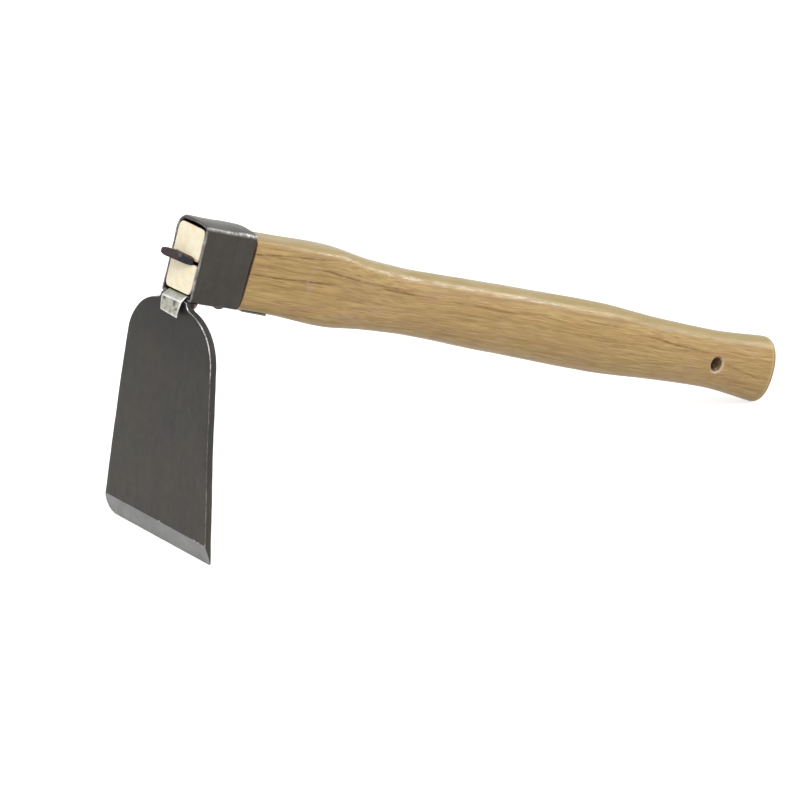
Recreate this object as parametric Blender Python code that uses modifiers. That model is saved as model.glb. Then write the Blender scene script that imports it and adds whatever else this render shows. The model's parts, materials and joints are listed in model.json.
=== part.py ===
"""A short hand hoe: a ground steel blade welded under a steel collar, on a wooden handle.

The handle's tenon fills the collar. An iron wedge spreads it, and a thin steel strip,
bent down over the front of the collar, keeps it from sliding out.

The pieces are modelled in the hoe's own frame: its origin is at the front rim of the collar,
+X runs along the handle to the butt, +Z up across the collar and +Y across the blade. A parent
empty then tilts the hoe until it stands on its cutting edge and its butt. Lengths are in metres.
"""

import math

import bmesh
import bpy
from mathutils import Matrix, Vector

# Clearances and small edge roundings
FIT_GAP = 0.0002
WELD_GAP = 0.0003
EDGE_ROUND = 0.0004

# Collar: a band of flat steel with round corners and a crowned top wall
COLLAR_LENGTH = 0.028
COLLAR_WIDTH = 0.0214
COLLAR_HEIGHT = 0.0352
COLLAR_WALL = 0.0015
CROWN_RISE = 0.0026
COLLAR_CORNER = 0.0020
COLLAR_FRONT_SLANT = math.radians(3.0)
COLLAR_RIM_ROUND = 0.0006
FLOOR_DROP = 0.01705

# Blade, measured along itself from the collar's underside
BLADE_LENGTH = 0.110
BLADE_THICKNESS = 0.0035
BLADE_TILT = math.radians(13.9)
BLADE_BOW = 0.0008
EDGE_WIDTH = 0.075
SIDE_TAPER = math.radians(5.0)
SHOULDER_RADIUS = 0.022
SHOULDER_DROP = 0.0032
NECK_WIDTH = 0.018
NECK_FILLET = 0.004
FAR_CORNER = 0.0055
NEAR_CORNER = 0.0010
GROUND_LENGTH = 0.0092
EDGE_LAND = 0.0003

# Weld beads
NECK_WELD_LENGTH = 0.0205
NECK_WELD_LEG = 0.0036
SEAM_WELD_LENGTH = 0.0052
SEAM_WELD_WIDTH = 0.0038
SEAM_WELD_HEIGHT = 0.0009
SEAM_WELD_X = 0.0190
SEAM_WELD_Y = -0.0070
BEAD_END_SHARE = 0.25
BEAD_FULLNESS = 0.35

# Handle: place as a share of the body from its shoulder to its butt, height, width, drop of the
# centre below the collar's axis and squareness (2 is an ellipse) at each station
HANDLE_LENGTH = 0.3636
HEAD_HEIGHT = 0.0326
HEAD_WIDTH = 0.0212
HEAD_DROP = 0.0008
HEAD_SQUARENESS = 6.0
CHEEK_SHARE = 0.072
CHEEK_HEIGHT = 0.0334
CHEEK_WIDTH = 0.0222
CHEEK_DROP = 0.0011
CHEEK_SQUARENESS = 4.6
SWELL_SHARE = 0.150
SWELL_HEIGHT = 0.0350
SWELL_WIDTH = 0.0230
SWELL_DROP = 0.0020
SWELL_SQUARENESS = 3.6
TAPER_SHARE = 0.234
TAPER_HEIGHT = 0.0308
TAPER_WIDTH = 0.0216
TAPER_DROP = 0.0031
TAPER_SQUARENESS = 2.8
WAIST_SHARE = 0.312
WAIST_HEIGHT = 0.0293
WAIST_WIDTH = 0.0206
WAIST_DROP = 0.0036
WAIST_SQUARENESS = 2.5
PALM_SHARE = 0.472
PALM_HEIGHT = 0.0312
PALM_WIDTH = 0.0220
PALM_DROP = 0.0047
PALM_SQUARENESS = 2.3
GRIP_SHARE = 0.652
GRIP_HEIGHT = 0.0327
GRIP_WIDTH = 0.0232
GRIP_DROP = 0.0059
GRIP_SQUARENESS = 2.2
FINGER_SHARE = 0.788
FINGER_HEIGHT = 0.0290
FINGER_WIDTH = 0.0216
FINGER_DROP = 0.0069
FINGER_SQUARENESS = 2.2
THROAT_SHARE = 0.893
THROAT_HEIGHT = 0.0278
THROAT_WIDTH = 0.0200
THROAT_DROP = 0.0075
THROAT_SQUARENESS = 2.2
BUTT_HEIGHT = 0.0319
BUTT_WIDTH = 0.0213
BUTT_DROP = 0.0087
BUTT_SQUARENESS = 2.2
BUTT_ROUND = 0.0018
BUTT_DOME = 0.0012
BUTT_SLANT = math.radians(2.0)
BUTT_SLANT_REACH = 0.024
BUTT_DOME_SHARES = (0.75, 0.5, 0.25, 0.05)

# Tenon, saw kerf and hanging hole
TENON_RECESS = 0.0002
TENON_CROWN_GAP = 0.0020
TENON_SQUARENESS = 9.0
TENON_ROUND = 0.0006
KERF_DEPTH = 0.025
KERF_HEIGHT = 0.0010
KERF_Z = 0.0004
HOLE_BACK = 0.0401
HOLE_BELOW = 0.0006
HOLE_DIAMETER = 0.0068
COUNTERSINK_DIAMETER = 0.0104
COUNTERSINK_DEPTH = 0.0016
CUTTER_BEYOND = 0.002

# Wedge, driven in skewed
WEDGE_WIDTH = 0.0150
WEDGE_Y = 0.0013
WEDGE_BURIED = 0.018
WEDGE_PROUD_FAR = 0.0060
WEDGE_PROUD_NEAR = 0.0008
WEDGE_HEAD_THICKNESS = 0.0056
WEDGE_TIP_THICKNESS = 0.0010
WEDGE_TIP_WIDTH = 0.0124
WEDGE_SIDE_THINNING = 0.45
WEDGE_SQUARENESS = 4.0
WEDGE_ROUND = 0.00025

# Keeper strip
STRIP_THICKNESS = 0.0009
STRIP_WIDTH = 0.0130
STRIP_Y = -0.0009
STRIP_TAIL = 0.0187
STRIP_TAIL_DEPTH = 0.0002
STRIP_STEP = 0.0048
STRIP_REACH = 0.0011
STRIP_SLOPE = math.radians(30.0)
STRIP_BEND = 0.0009
STRIP_LEAN = math.radians(1.5)
STRIP_DROP = 0.0076
STRIP_END_SKEW = 0.0007
STRIP_ROUND = 0.0002

# Mesh fineness
RING_POINTS = 40
WEDGE_POINTS = 24
WEDGE_RINGS = 6
BODY_RINGS = 44
BUTT_ROUND_RINGS = 5
ARC_STEP = math.radians(9.0)
HOLE_SIDES = 32
BOW_SLICES = 10
BEAD_POINTS = 13
BEAD_ROUNDNESS = 4

# Worked out from the sizes above
COLLAR_MIDDLE = COLLAR_LENGTH / 2.0
INNER_FLOOR = -FLOOR_DROP + COLLAR_WALL
INNER_WIDTH = COLLAR_WIDTH - 2.0 * COLLAR_WALL
INNER_CROWN = COLLAR_HEIGHT - FLOOR_DROP - COLLAR_WALL
SHOULDER_X = COLLAR_LENGTH + FIT_GAP
TENON_WIDTH = INNER_WIDTH - 2.0 * FIT_GAP
TENON_BOTTOM = INNER_FLOOR + STRIP_THICKNESS + 2.0 * FIT_GAP
TENON_TOP = INNER_CROWN - TENON_CROWN_GAP
STRIP_Z = INNER_FLOOR + FIT_GAP + STRIP_THICKNESS / 2.0
HOLE_X = HANDLE_LENGTH - HOLE_BACK

COLOURS = {
    "blackened_steel": ((0.078, 0.070, 0.062), 0.48, 0.85),
    "bright_strip": ((0.52, 0.51, 0.49), 0.32, 1.0),
    "weld_bead": ((0.105, 0.092, 0.085), 0.55, 0.85),
    "rough_iron": ((0.060, 0.043, 0.042), 0.66, 0.75),
    "lacquered_wood": ((0.50, 0.33, 0.155), 0.36, 0.0),
}


def clear_scene():
    """Remove every object, so that the model starts from nothing."""
    for item in list(bpy.data.objects):
        bpy.data.objects.remove(item, do_unlink=True)


def new_collection(name):
    """Return a new collection linked to the scene."""
    collection = bpy.data.collections.new(name)
    bpy.context.scene.collection.children.link(collection)
    return collection


def finish_material(name):
    """Return the named finish as a Principled BSDF material, made once."""
    if name in bpy.data.materials:
        return bpy.data.materials[name]
    colour, roughness, metallic = COLOURS[name]
    material = bpy.data.materials.new(name)
    material.use_nodes = True
    shader = material.node_tree.nodes["Principled BSDF"]
    shader.inputs["Base Color"].default_value = (*colour, 1.0)
    shader.inputs["Roughness"].default_value = roughness
    shader.inputs["Metallic"].default_value = metallic
    material.diffuse_color = (*colour, 1.0)
    return material


def add_object(name, mesh, collection, parent):
    """Link a mesh to a collection as an object under the hoe's empty."""
    item = bpy.data.objects.new(name, mesh)
    collection.objects.link(item)
    item.parent = parent
    return item


def baked(item, collection):
    """Turn a curve or a modified object into one plain welded mesh object in the same place."""
    bpy.context.view_layer.update()
    graph = bpy.context.evaluated_depsgraph_get()
    mesh = bpy.data.meshes.new_from_object(item.evaluated_get(graph))
    name = item.name
    place = item.matrix_world.copy()
    parent = item.parent
    bpy.data.objects.remove(item, do_unlink=True)
    shape = bmesh.new()
    shape.from_mesh(mesh)
    bmesh.ops.remove_doubles(shape, verts=shape.verts, dist=1e-6)
    bmesh.ops.recalc_face_normals(shape, faces=shape.faces)
    shape.to_mesh(mesh)
    shape.free()
    plain = add_object(name, mesh, collection, parent)
    plain.matrix_world = place
    return plain


def shade(item, angle=35.0):
    """Shade an object smooth, with its sharp edges kept."""
    item.data.shade_smooth()
    item.data.set_sharp_from_angle(angle=math.radians(angle))


def make_cutter(item):
    """Mark an object as a cutter."""
    item.hide_render = True
    item.display_type = "WIRE"
    return item


def cut(item, cutter):
    """Take the cutter's shape out of an object."""
    modifier = item.modifiers.new(cutter.name, "BOOLEAN")
    modifier.operation = "DIFFERENCE"
    modifier.solver = "EXACT"
    modifier.object = cutter


def round_edges(item, width, segments=2, angle=50.0):
    """Round an object's sharp edges."""
    modifier = item.modifiers.new("round_edges", "BEVEL")
    modifier.width = width
    modifier.segments = segments
    modifier.limit_method = "ANGLE"
    modifier.angle_limit = math.radians(angle)


def arc(centre, radius, start, end):
    """Return the points of an arc, both ends included."""
    steps = max(2, math.ceil(abs(end - start) / ARC_STEP))
    points = []
    for k in range(steps + 1):
        angle = start + (end - start) * k / steps
        points.append(Vector((centre[0] + radius * math.cos(angle), centre[1] + radius * math.sin(angle))))
    return points


def round_corner(before, corner, after, radius):
    """Return the arc that rounds a convex or concave corner between two straight sides."""
    to_before = (before - corner).normalized()
    to_after = (after - corner).normalized()
    half = to_before.angle(to_after) / 2.0
    centre = corner + (to_before + to_after).normalized() * (radius / math.sin(half))
    reach = radius / math.tan(half)
    first = corner + to_before * reach - centre
    last = corner + to_after * reach - centre
    start = math.atan2(first.y, first.x)
    turn = math.atan2(first.cross(last), first.dot(last))
    return arc(centre, radius, start, start + turn)


def outline_object(name, outlines, depth, collection, parent):
    """Fill flat closed outlines, holes included, and give them a depth centred on the outline."""
    curve = bpy.data.curves.new(name, "CURVE")
    curve.dimensions = "2D"
    curve.fill_mode = "BOTH"
    curve.extrude = depth / 2.0
    for points in outlines:
        spline = curve.splines.new("POLY")
        spline.points.add(len(points) - 1)
        for point, place in zip(spline.points, points):
            point.co = (place[0], place[1], 0.0, 1.0)
        spline.use_cyclic_u = True
    item = bpy.data.objects.new(name, curve)
    collection.objects.link(item)
    item.parent = parent
    return baked(item, collection)


def box(name, size, collection, parent):
    """Return a box centred on its own origin."""
    shape = bmesh.new()
    bmesh.ops.create_cube(shape, size=1.0)
    bmesh.ops.scale(shape, vec=size, verts=shape.verts)
    mesh = bpy.data.meshes.new(name)
    shape.to_mesh(mesh)
    shape.free()
    return add_object(name, mesh, collection, parent)


def loft(name, rings, collection, parent):
    """Skin rings of equally many points and close both ends."""
    shape = bmesh.new()
    loops = [[shape.verts.new(point) for point in ring] for ring in rings]
    count = len(loops[0])
    for first, second in zip(loops, loops[1:]):
        for k in range(count):
            after = (k + 1) % count
            shape.faces.new((first[k], second[k], second[after], first[after]))
    shape.faces.new(loops[0])
    shape.faces.new(loops[-1])
    bmesh.ops.recalc_face_normals(shape, faces=shape.faces)
    mesh = bpy.data.meshes.new(name)
    shape.to_mesh(mesh)
    shape.free()
    return add_object(name, mesh, collection, parent)


# Collar

def front_rim_x(height):
    """Return where the slanted front rim stands at a height above the collar's axis."""
    return -height * math.tan(COLLAR_FRONT_SLANT)


def collar_outline(inset):
    """Return the band's outline across the hoe, drawn in by an inset: flat floor, crowned top."""
    half = COLLAR_WIDTH / 2.0
    crown = COLLAR_HEIGHT - FLOOR_DROP
    radius = (half * half + CROWN_RISE * CROWN_RISE) / (2.0 * CROWN_RISE)
    centre = Vector((0.0, crown - radius))
    side = half - inset
    reach = math.asin(side / (radius - inset))
    top = arc(centre, radius - inset, math.pi / 2.0 - reach, math.pi / 2.0 + reach)
    floor = -FLOOR_DROP + inset
    corner = max(COLLAR_CORNER - inset, EDGE_ROUND)
    near_low = Vector((side, floor))
    far_low = Vector((-side, floor))
    points = round_corner(far_low, near_low, top[0], corner)
    points += round_corner(near_low, top[0], top[1], corner)
    points += top[2:-2]
    points += round_corner(top[-2], top[-1], far_low, corner)
    points += round_corner(top[-1], far_low, near_low, corner)
    return points


def make_collar(parts, hoe):
    """Model the band that holds the tenon."""
    outlines = [collar_outline(0.0), collar_outline(COLLAR_WALL)]
    collar = outline_object("eye_collar", outlines, COLLAR_LENGTH, parts, hoe)
    for vertex in collar.data.vertices:
        if vertex.co.z < 0.0:
            vertex.co.z = front_rim_x(vertex.co.y) - COLLAR_MIDDLE
    collar.rotation_euler = (math.pi / 2.0, 0.0, math.pi / 2.0)
    collar.location = (COLLAR_MIDDLE, 0.0, 0.0)
    round_edges(collar, COLLAR_RIM_ROUND)
    return collar


# Blade

def blade_half_width(down):
    """Return half the width between the straight sides, at a distance down the blade."""
    return EDGE_WIDTH / 2.0 - (BLADE_LENGTH - down) * math.tan(SIDE_TAPER)


def blade_outline():
    """Return the blade's outline: neck, fillets, round shoulders, tapering sides and edge."""
    shoulder_y = -(SHOULDER_DROP + SHOULDER_RADIUS)
    shoulder_x = blade_half_width(-shoulder_y) - SHOULDER_RADIUS / math.cos(SIDE_TAPER)
    fillet_x = NECK_WIDTH / 2.0 + NECK_FILLET
    reach = SHOULDER_RADIUS + NECK_FILLET
    fillet_y = shoulder_y + math.sqrt(reach * reach - (fillet_x - shoulder_x) ** 2)
    meeting = math.atan2(fillet_y - shoulder_y, fillet_x - shoulder_x)
    neck_top = 2.0 * NECK_FILLET
    half = [Vector((NECK_WIDTH / 2.0, neck_top))]
    half += arc((fillet_x, fillet_y), NECK_FILLET, math.pi, math.pi + meeting)
    half += arc((shoulder_x, shoulder_y), SHOULDER_RADIUS, meeting, SIDE_TAPER)[1:]
    bottom = -BLADE_LENGTH
    far = Vector((EDGE_WIDTH / 2.0, bottom))
    near = Vector((-EDGE_WIDTH / 2.0, bottom))
    mirrored = [Vector((-point.x, point.y)) for point in reversed(half)]
    points = half
    points += round_corner(half[-1], far, near, FAR_CORNER)
    points += round_corner(far, near, mirrored[0], NEAR_CORNER)
    points += mirrored
    return points


def place_in_blade_frame(item, centre, lean=0.0):
    """Put an object in the blade's plane: centre is across, up the blade and behind its mid-plane."""
    tilt = math.pi / 2.0 - BLADE_TILT
    frame = Matrix.Rotation(math.pi / 2.0, 4, "Z") @ Matrix.Rotation(tilt, 4, "X")
    back = Vector((math.cos(BLADE_TILT), 0.0, math.sin(BLADE_TILT))) * (BLADE_THICKNESS / 2.0)
    frame = Matrix.Translation(back + Vector((0.0, 0.0, -FLOOR_DROP))) @ frame
    local = Matrix.Translation(centre) @ Matrix.Rotation(lean, 4, "X")
    item.matrix_basis = frame @ local


def ground_cutter(cutters, hoe):
    """Return the block whose face grinds the cutting edge on the front of the blade."""
    rise = BLADE_THICKNESS - EDGE_LAND
    slope = math.atan2(rise, GROUND_LENGTH)
    length = 1.6 * math.hypot(rise, GROUND_LENGTH)
    depth = 2.0 * GROUND_LENGTH
    cutter = box("ground_cutter", (1.4 * EDGE_WIDTH, length, depth), cutters, hoe)
    middle = Vector((0.0, -BLADE_LENGTH + GROUND_LENGTH / 2.0, -EDGE_LAND / 2.0))
    outward = Vector((0.0, -math.sin(slope), -math.cos(slope)))
    place_in_blade_frame(cutter, middle + outward * depth / 2.0, -slope)
    return make_cutter(cutter)


def floor_cutter(cutters, hoe):
    """Return the block that trims what is welded under the collar flush with its floor."""
    depth = 0.6 * COLLAR_HEIGHT
    size = (3.0 * COLLAR_LENGTH, 2.0 * COLLAR_WIDTH, depth)
    cutter = box("floor_cutter", size, cutters, hoe)
    cutter.location = (COLLAR_MIDDLE, 0.0, -FLOOR_DROP - WELD_GAP + depth / 2.0)
    return make_cutter(cutter)


def bow_blade(blade):
    """Slice the plate across its length and bow it, its middle towards the front."""
    shape = bmesh.new()
    shape.from_mesh(blade.data)
    along = Vector((0.0, 1.0, 0.0))
    for k in range(1, BOW_SLICES):
        place = -along * BLADE_LENGTH * k / BOW_SLICES
        whole = shape.verts[:] + shape.edges[:] + shape.faces[:]
        bmesh.ops.bisect_plane(shape, geom=whole, plane_co=place, plane_no=along, dist=1e-7)
    for vertex in shape.verts:
        share = min(max(-vertex.co.y / BLADE_LENGTH, 0.0), 1.0)
        vertex.co.z -= 4.0 * BLADE_BOW * share * (1.0 - share)
    shape.to_mesh(blade.data)
    shape.free()


def make_blade(parts, cutters, hoe, under_floor):
    """Model the blade: outline, rounded edges, ground cutting edge, trimmed neck and bow."""
    blade = outline_object("blade", [blade_outline()], BLADE_THICKNESS, parts, hoe)
    place_in_blade_frame(blade, Vector((0.0, 0.0, 0.0)))
    round_edges(blade, EDGE_ROUND)
    cut(blade, ground_cutter(cutters, hoe))
    cut(blade, under_floor)
    blade = baked(blade, parts)
    bow_blade(blade)
    return blade


# Weld beads

def bead(name, length, radius, middle, parts, hoe):
    """Return a bead along Y that is full in the middle and tapers to round ends."""
    curve = bpy.data.curves.new(name, "CURVE")
    curve.dimensions = "3D"
    curve.bevel_depth = radius
    curve.bevel_resolution = BEAD_ROUNDNESS
    curve.use_fill_caps = True
    spline = curve.splines.new("POLY")
    spline.points.add(BEAD_POINTS - 1)
    for k, point in enumerate(spline.points):
        along = -1.0 + 2.0 * k / (BEAD_POINTS - 1)
        point.co = (0.0, 0.5 * length * math.sin(along * math.pi / 2.0), 0.0, 1.0)
        point.radius = max(BEAD_END_SHARE, math.cos(along * math.pi / 2.0) ** BEAD_FULLNESS)
    item = bpy.data.objects.new(name, curve)
    parts.objects.link(item)
    item.parent = hoe
    item.location = middle
    return baked(item, parts)


def blade_back_cutter(cutters, hoe):
    """Return the block that keeps the neck's weld off the blade's back face."""
    depth = 4.0 * BLADE_THICKNESS
    cutter = box("blade_back_cutter", (EDGE_WIDTH, BLADE_LENGTH, depth), cutters, hoe)
    behind = BLADE_THICKNESS / 2.0 + WELD_GAP - depth / 2.0
    place_in_blade_frame(cutter, Vector((0.0, 0.0, behind)))
    return make_cutter(cutter)


def make_welds(parts, cutters, hoe, under_floor):
    """Model the bead behind the neck and the short one on the band's closing seam."""
    corner = BLADE_THICKNESS * math.cos(BLADE_TILT) + WELD_GAP
    neck_middle = Vector((corner, 0.0, -FLOOR_DROP - WELD_GAP))
    neck_weld = bead("neck_weld", NECK_WELD_LENGTH, NECK_WELD_LEG, neck_middle, parts, hoe)
    cut(neck_weld, under_floor)
    cut(neck_weld, blade_back_cutter(cutters, hoe))
    seam_middle = Vector((SEAM_WELD_X, SEAM_WELD_Y, -FLOOR_DROP - WELD_GAP))
    seam_weld = bead("seam_weld", SEAM_WELD_LENGTH, SEAM_WELD_HEIGHT, seam_middle, parts, hoe)
    widen = SEAM_WELD_WIDTH / (2.0 * SEAM_WELD_HEIGHT)
    seam_weld.data.transform(Matrix.Diagonal((widen, 1.0, 1.0, 1.0)))
    seam_weld.rotation_euler = (0.0, 0.0, math.pi / 2.0)
    cut(seam_weld, under_floor)
    for weld in (neck_weld, seam_weld):
        shade(weld)
    return neck_weld, seam_weld


# Handle

def body_place(share):
    """Return the distance along the hoe at a share of the body, before the butt's rounded end."""
    return SHOULDER_X + (HANDLE_LENGTH - BUTT_DOME - BUTT_ROUND - SHOULDER_X) * share


def handle_stations():
    """Return each station: distance, height, width, drop of the centre and squareness."""
    return [
        (SHOULDER_X, HEAD_HEIGHT, HEAD_WIDTH, HEAD_DROP, HEAD_SQUARENESS),
        (body_place(CHEEK_SHARE), CHEEK_HEIGHT, CHEEK_WIDTH, CHEEK_DROP, CHEEK_SQUARENESS),
        (body_place(SWELL_SHARE), SWELL_HEIGHT, SWELL_WIDTH, SWELL_DROP, SWELL_SQUARENESS),
        (body_place(TAPER_SHARE), TAPER_HEIGHT, TAPER_WIDTH, TAPER_DROP, TAPER_SQUARENESS),
        (body_place(WAIST_SHARE), WAIST_HEIGHT, WAIST_WIDTH, WAIST_DROP, WAIST_SQUARENESS),
        (body_place(PALM_SHARE), PALM_HEIGHT, PALM_WIDTH, PALM_DROP, PALM_SQUARENESS),
        (body_place(GRIP_SHARE), GRIP_HEIGHT, GRIP_WIDTH, GRIP_DROP, GRIP_SQUARENESS),
        (body_place(FINGER_SHARE), FINGER_HEIGHT, FINGER_WIDTH, FINGER_DROP, FINGER_SQUARENESS),
        (body_place(THROAT_SHARE), THROAT_HEIGHT, THROAT_WIDTH, THROAT_DROP, THROAT_SQUARENESS),
        (body_place(1.0), BUTT_HEIGHT, BUTT_WIDTH, BUTT_DROP, BUTT_SQUARENESS),
    ]


def station_slopes(places, values):
    """Return a slope at each station that lets a cubic through them neither overshoot nor ripple."""
    rises = []
    for k in range(len(places) - 1):
        rises.append((values[k + 1] - values[k]) / (places[k + 1] - places[k]))
    slopes = [rises[0]]
    for before, after in zip(rises, rises[1:]):
        level = before * after <= 0.0
        slopes.append(0.0 if level else 2.0 * before * after / (before + after))
    slopes.append(rises[-1])
    return slopes


def along_stations(place, places, values, slopes):
    """Read the smooth curve through the stations at one distance along the handle."""
    k = 0
    while k < len(places) - 2 and place > places[k + 1]:
        k += 1
    span = places[k + 1] - places[k]
    t = (place - places[k]) / span
    start = values[k] * (1.0 + 2.0 * t) * (1.0 - t) ** 2 + slopes[k] * span * t * (1.0 - t) ** 2
    end = values[k + 1] * t * t * (3.0 - 2.0 * t) - slopes[k + 1] * span * t * t * (1.0 - t)
    return start + end


def handle_section(place):
    """Return height, width, drop and squareness of the handle at a distance along it."""
    columns = list(zip(*handle_stations()))
    places = columns[0]
    section = []
    for values in columns[1:]:
        slopes = station_slopes(places, values)
        section.append(along_stations(place, places, values, slopes))
    return section


def oval_ring(x, centre_z, half_height, half_width, squareness, count=RING_POINTS):
    """Return a ring across the hoe, between an ellipse and a rectangle with round corners."""
    ring = []
    for k in range(count):
        angle = 2.0 * math.pi * (k + 0.5) / count
        across = math.copysign(abs(math.cos(angle)) ** (2.0 / squareness), math.cos(angle))
        up = math.copysign(abs(math.sin(angle)) ** (2.0 / squareness), math.sin(angle))
        ring.append(Vector((x, half_width * across, centre_z + half_height * up)))
    return ring


def body_ring(x, centre_z, half_height, half_width, squareness):
    """Return a ring of the handle, leaning more and more towards the slanted end of the butt."""
    ring = oval_ring(x, centre_z, half_height, half_width, squareness)
    lean = min(max(1.0 - (body_place(1.0) - x) / BUTT_SLANT_REACH, 0.0), 1.0)
    for point in ring:
        point.x -= (point.z - centre_z) * math.tan(BUTT_SLANT) * lean
    return ring


def tenon_rings():
    """Return the tenon's rings, from its slightly eased end to the shoulder."""
    half_height = (TENON_TOP - TENON_BOTTOM) / 2.0
    centre = (TENON_TOP + TENON_BOTTOM) / 2.0
    rings = []
    for step, ease in ((0.0, TENON_ROUND), (TENON_ROUND, 0.0)):
        ring = oval_ring(0.0, centre, half_height - ease, TENON_WIDTH / 2.0 - ease, TENON_SQUARENESS)
        for point in ring:
            point.x = front_rim_x(point.z) + TENON_RECESS + step
        rings.append(ring)
    rings.append(oval_ring(SHOULDER_X, centre, half_height, TENON_WIDTH / 2.0, TENON_SQUARENESS))
    return rings


def body_rings():
    """Return the handle's rings from the shoulder behind the collar to the start of the butt's round."""
    rings = []
    for k in range(BODY_RINGS + 1):
        x = body_place(k / BODY_RINGS)
        height, width, drop, squareness = handle_section(x)
        rings.append(body_ring(x, -drop, height / 2.0, width / 2.0, squareness))
    return rings


def butt_rings():
    """Return the rings of the rounded rim and of the shallow dome that close the butt."""
    start = body_place(1.0)
    height, width, drop, squareness = handle_section(start)
    rings = []
    for k in range(1, BUTT_ROUND_RINGS + 1):
        turn = math.pi / 2.0 * k / BUTT_ROUND_RINGS
        inset = BUTT_ROUND * (1.0 - math.cos(turn))
        x = start + BUTT_ROUND * math.sin(turn)
        rings.append(body_ring(x, -drop, height / 2.0 - inset, width / 2.0 - inset, squareness))
    for share in BUTT_DOME_SHARES:
        x = HANDLE_LENGTH - BUTT_DOME * share * share
        flat_height = (height / 2.0 - BUTT_ROUND) * share
        flat_width = (width / 2.0 - BUTT_ROUND) * share
        rings.append(body_ring(x, -drop, flat_height, flat_width, squareness))
    return rings


def hole_cutter(cutters, hoe):
    """Return the hanging hole across the butt, countersunk on both sides."""
    width, drop = handle_section(HOLE_X)[1:3]
    half = width / 2.0
    flare = (COUNTERSINK_DIAMETER - HOLE_DIAMETER) / (2.0 * COUNTERSINK_DEPTH)
    outer = COUNTERSINK_DIAMETER / 2.0 + flare * CUTTER_BEYOND
    profile = [
        (0.0, half + CUTTER_BEYOND),
        (outer, half + CUTTER_BEYOND),
        (HOLE_DIAMETER / 2.0, half - COUNTERSINK_DEPTH),
        (HOLE_DIAMETER / 2.0, -half + COUNTERSINK_DEPTH),
        (outer, -half - CUTTER_BEYOND),
        (0.0, -half - CUTTER_BEYOND),
    ]
    mesh = bpy.data.meshes.new("hole_cutter")
    edges = [(k, k + 1) for k in range(len(profile) - 1)]
    mesh.from_pydata([(radius, 0.0, height) for radius, height in profile], edges, [])
    cutter = add_object("hole_cutter", mesh, cutters, hoe)
    turned = cutter.modifiers.new("turned", "SCREW")
    turned.axis = "Z"
    turned.steps = HOLE_SIDES
    turned.render_steps = HOLE_SIDES
    turned.use_merge_vertices = True
    turned.merge_threshold = 0.00001
    cutter.location = (HOLE_X, 0.0, -drop - HOLE_BELOW)
    cutter.rotation_euler = (math.pi / 2.0, 0.0, 0.0)
    return make_cutter(cutter)


def make_handle(parts, cutters, hoe):
    """Model the handle with its tenon, and cut the kerf, the wedge's seat, the groove and the hole."""
    handle = loft("wood_handle", tenon_rings() + body_rings() + butt_rings(), parts, hoe)
    kerf = box("kerf_cutter", (2.0 * KERF_DEPTH, COLLAR_WIDTH, KERF_HEIGHT), cutters, hoe)
    kerf.location = (0.0, 0.0, KERF_Z)
    cut(handle, make_cutter(kerf))
    cut(handle, make_cutter(wedge_block("wedge_cutter", FIT_GAP, cutters, hoe)))
    cut(handle, groove_cutter(cutters, hoe))
    cut(handle, hole_cutter(cutters, hoe))
    return handle


# Wedge

def wedge_block(name, clearance, collection, hoe):
    """Return the tapered wedge, thickest in its middle, its head skewed; grown by a clearance."""
    rings = []
    for k in range(WEDGE_RINGS + 1):
        share = k / WEDGE_RINGS
        thickness = WEDGE_HEAD_THICKNESS + (WEDGE_TIP_THICKNESS - WEDGE_HEAD_THICKNESS) * share
        width = WEDGE_WIDTH + (WEDGE_TIP_WIDTH - WEDGE_WIDTH) * share
        half_height = thickness / 2.0 + clearance
        half_width = width / 2.0 + clearance
        ring = oval_ring(0.0, KERF_Z, half_height, half_width, WEDGE_SQUARENESS, WEDGE_POINTS)
        for point in ring:
            across = 0.5 + point.y / WEDGE_WIDTH
            proud = WEDGE_PROUD_NEAR + (WEDGE_PROUD_FAR - WEDGE_PROUD_NEAR) * across + clearance
            thinning = WEDGE_SIDE_THINNING * abs(point.y) / half_width * (1.0 - share)
            point.z -= (point.z - KERF_Z) * thinning
            point.x = -proud * (1.0 - share) + (WEDGE_BURIED + clearance) * share
            point.y += WEDGE_Y
        rings.append(ring)
    return loft(name, rings, collection, hoe)


def make_wedge(parts, hoe):
    """Model the iron wedge with softened edges."""
    wedge = wedge_block("wedge", 0.0, parts, hoe)
    round_edges(wedge, WEDGE_ROUND)
    return wedge


# Keeper strip

def strip_path():
    """Return the strip's centre line along the hoe, as distance and height, from tail to front end."""
    path = []
    for x in (COLLAR_LENGTH + STRIP_TAIL, SHOULDER_X + STRIP_STEP):
        height, width, drop, squareness = handle_section(x)
        path.append(Vector((x, -drop - height / 2.0 - STRIP_TAIL_DEPTH)))
    path.append(Vector((SHOULDER_X + STRIP_THICKNESS, STRIP_Z)))
    rim = Vector((front_rim_x(INNER_FLOOR), STRIP_Z))
    path.append(rim)
    start = math.pi / 2.0 + STRIP_SLOPE
    bend_x = rim.x - STRIP_REACH
    slope_run = rim.x - bend_x - STRIP_BEND * math.cos(start)
    bend_z = rim.y - slope_run * math.tan(STRIP_SLOPE) - STRIP_BEND * math.sin(start)
    bend = arc((bend_x, bend_z), STRIP_BEND, start, math.pi + STRIP_LEAN)
    path += bend
    path.append(bend[-1] + Vector((math.sin(STRIP_LEAN), -math.cos(STRIP_LEAN))) * STRIP_DROP)
    return path


def side_of(path, distance):
    """Return the path moved sideways, to the left of its direction."""
    moved = []
    for k, point in enumerate(path):
        before = path[max(k - 1, 0)]
        after = path[min(k + 1, len(path) - 1)]
        into = (point - before).normalized() if k > 0 else (after - point).normalized()
        out = (after - point).normalized() if k < len(path) - 1 else into
        normal = Vector((-(into.y + out.y), into.x + out.x)).normalized()
        stretch = 1.0 / max(normal.dot(Vector((-into.y, into.x))), 0.5)
        moved.append(point + normal * distance * stretch)
    return moved


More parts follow.
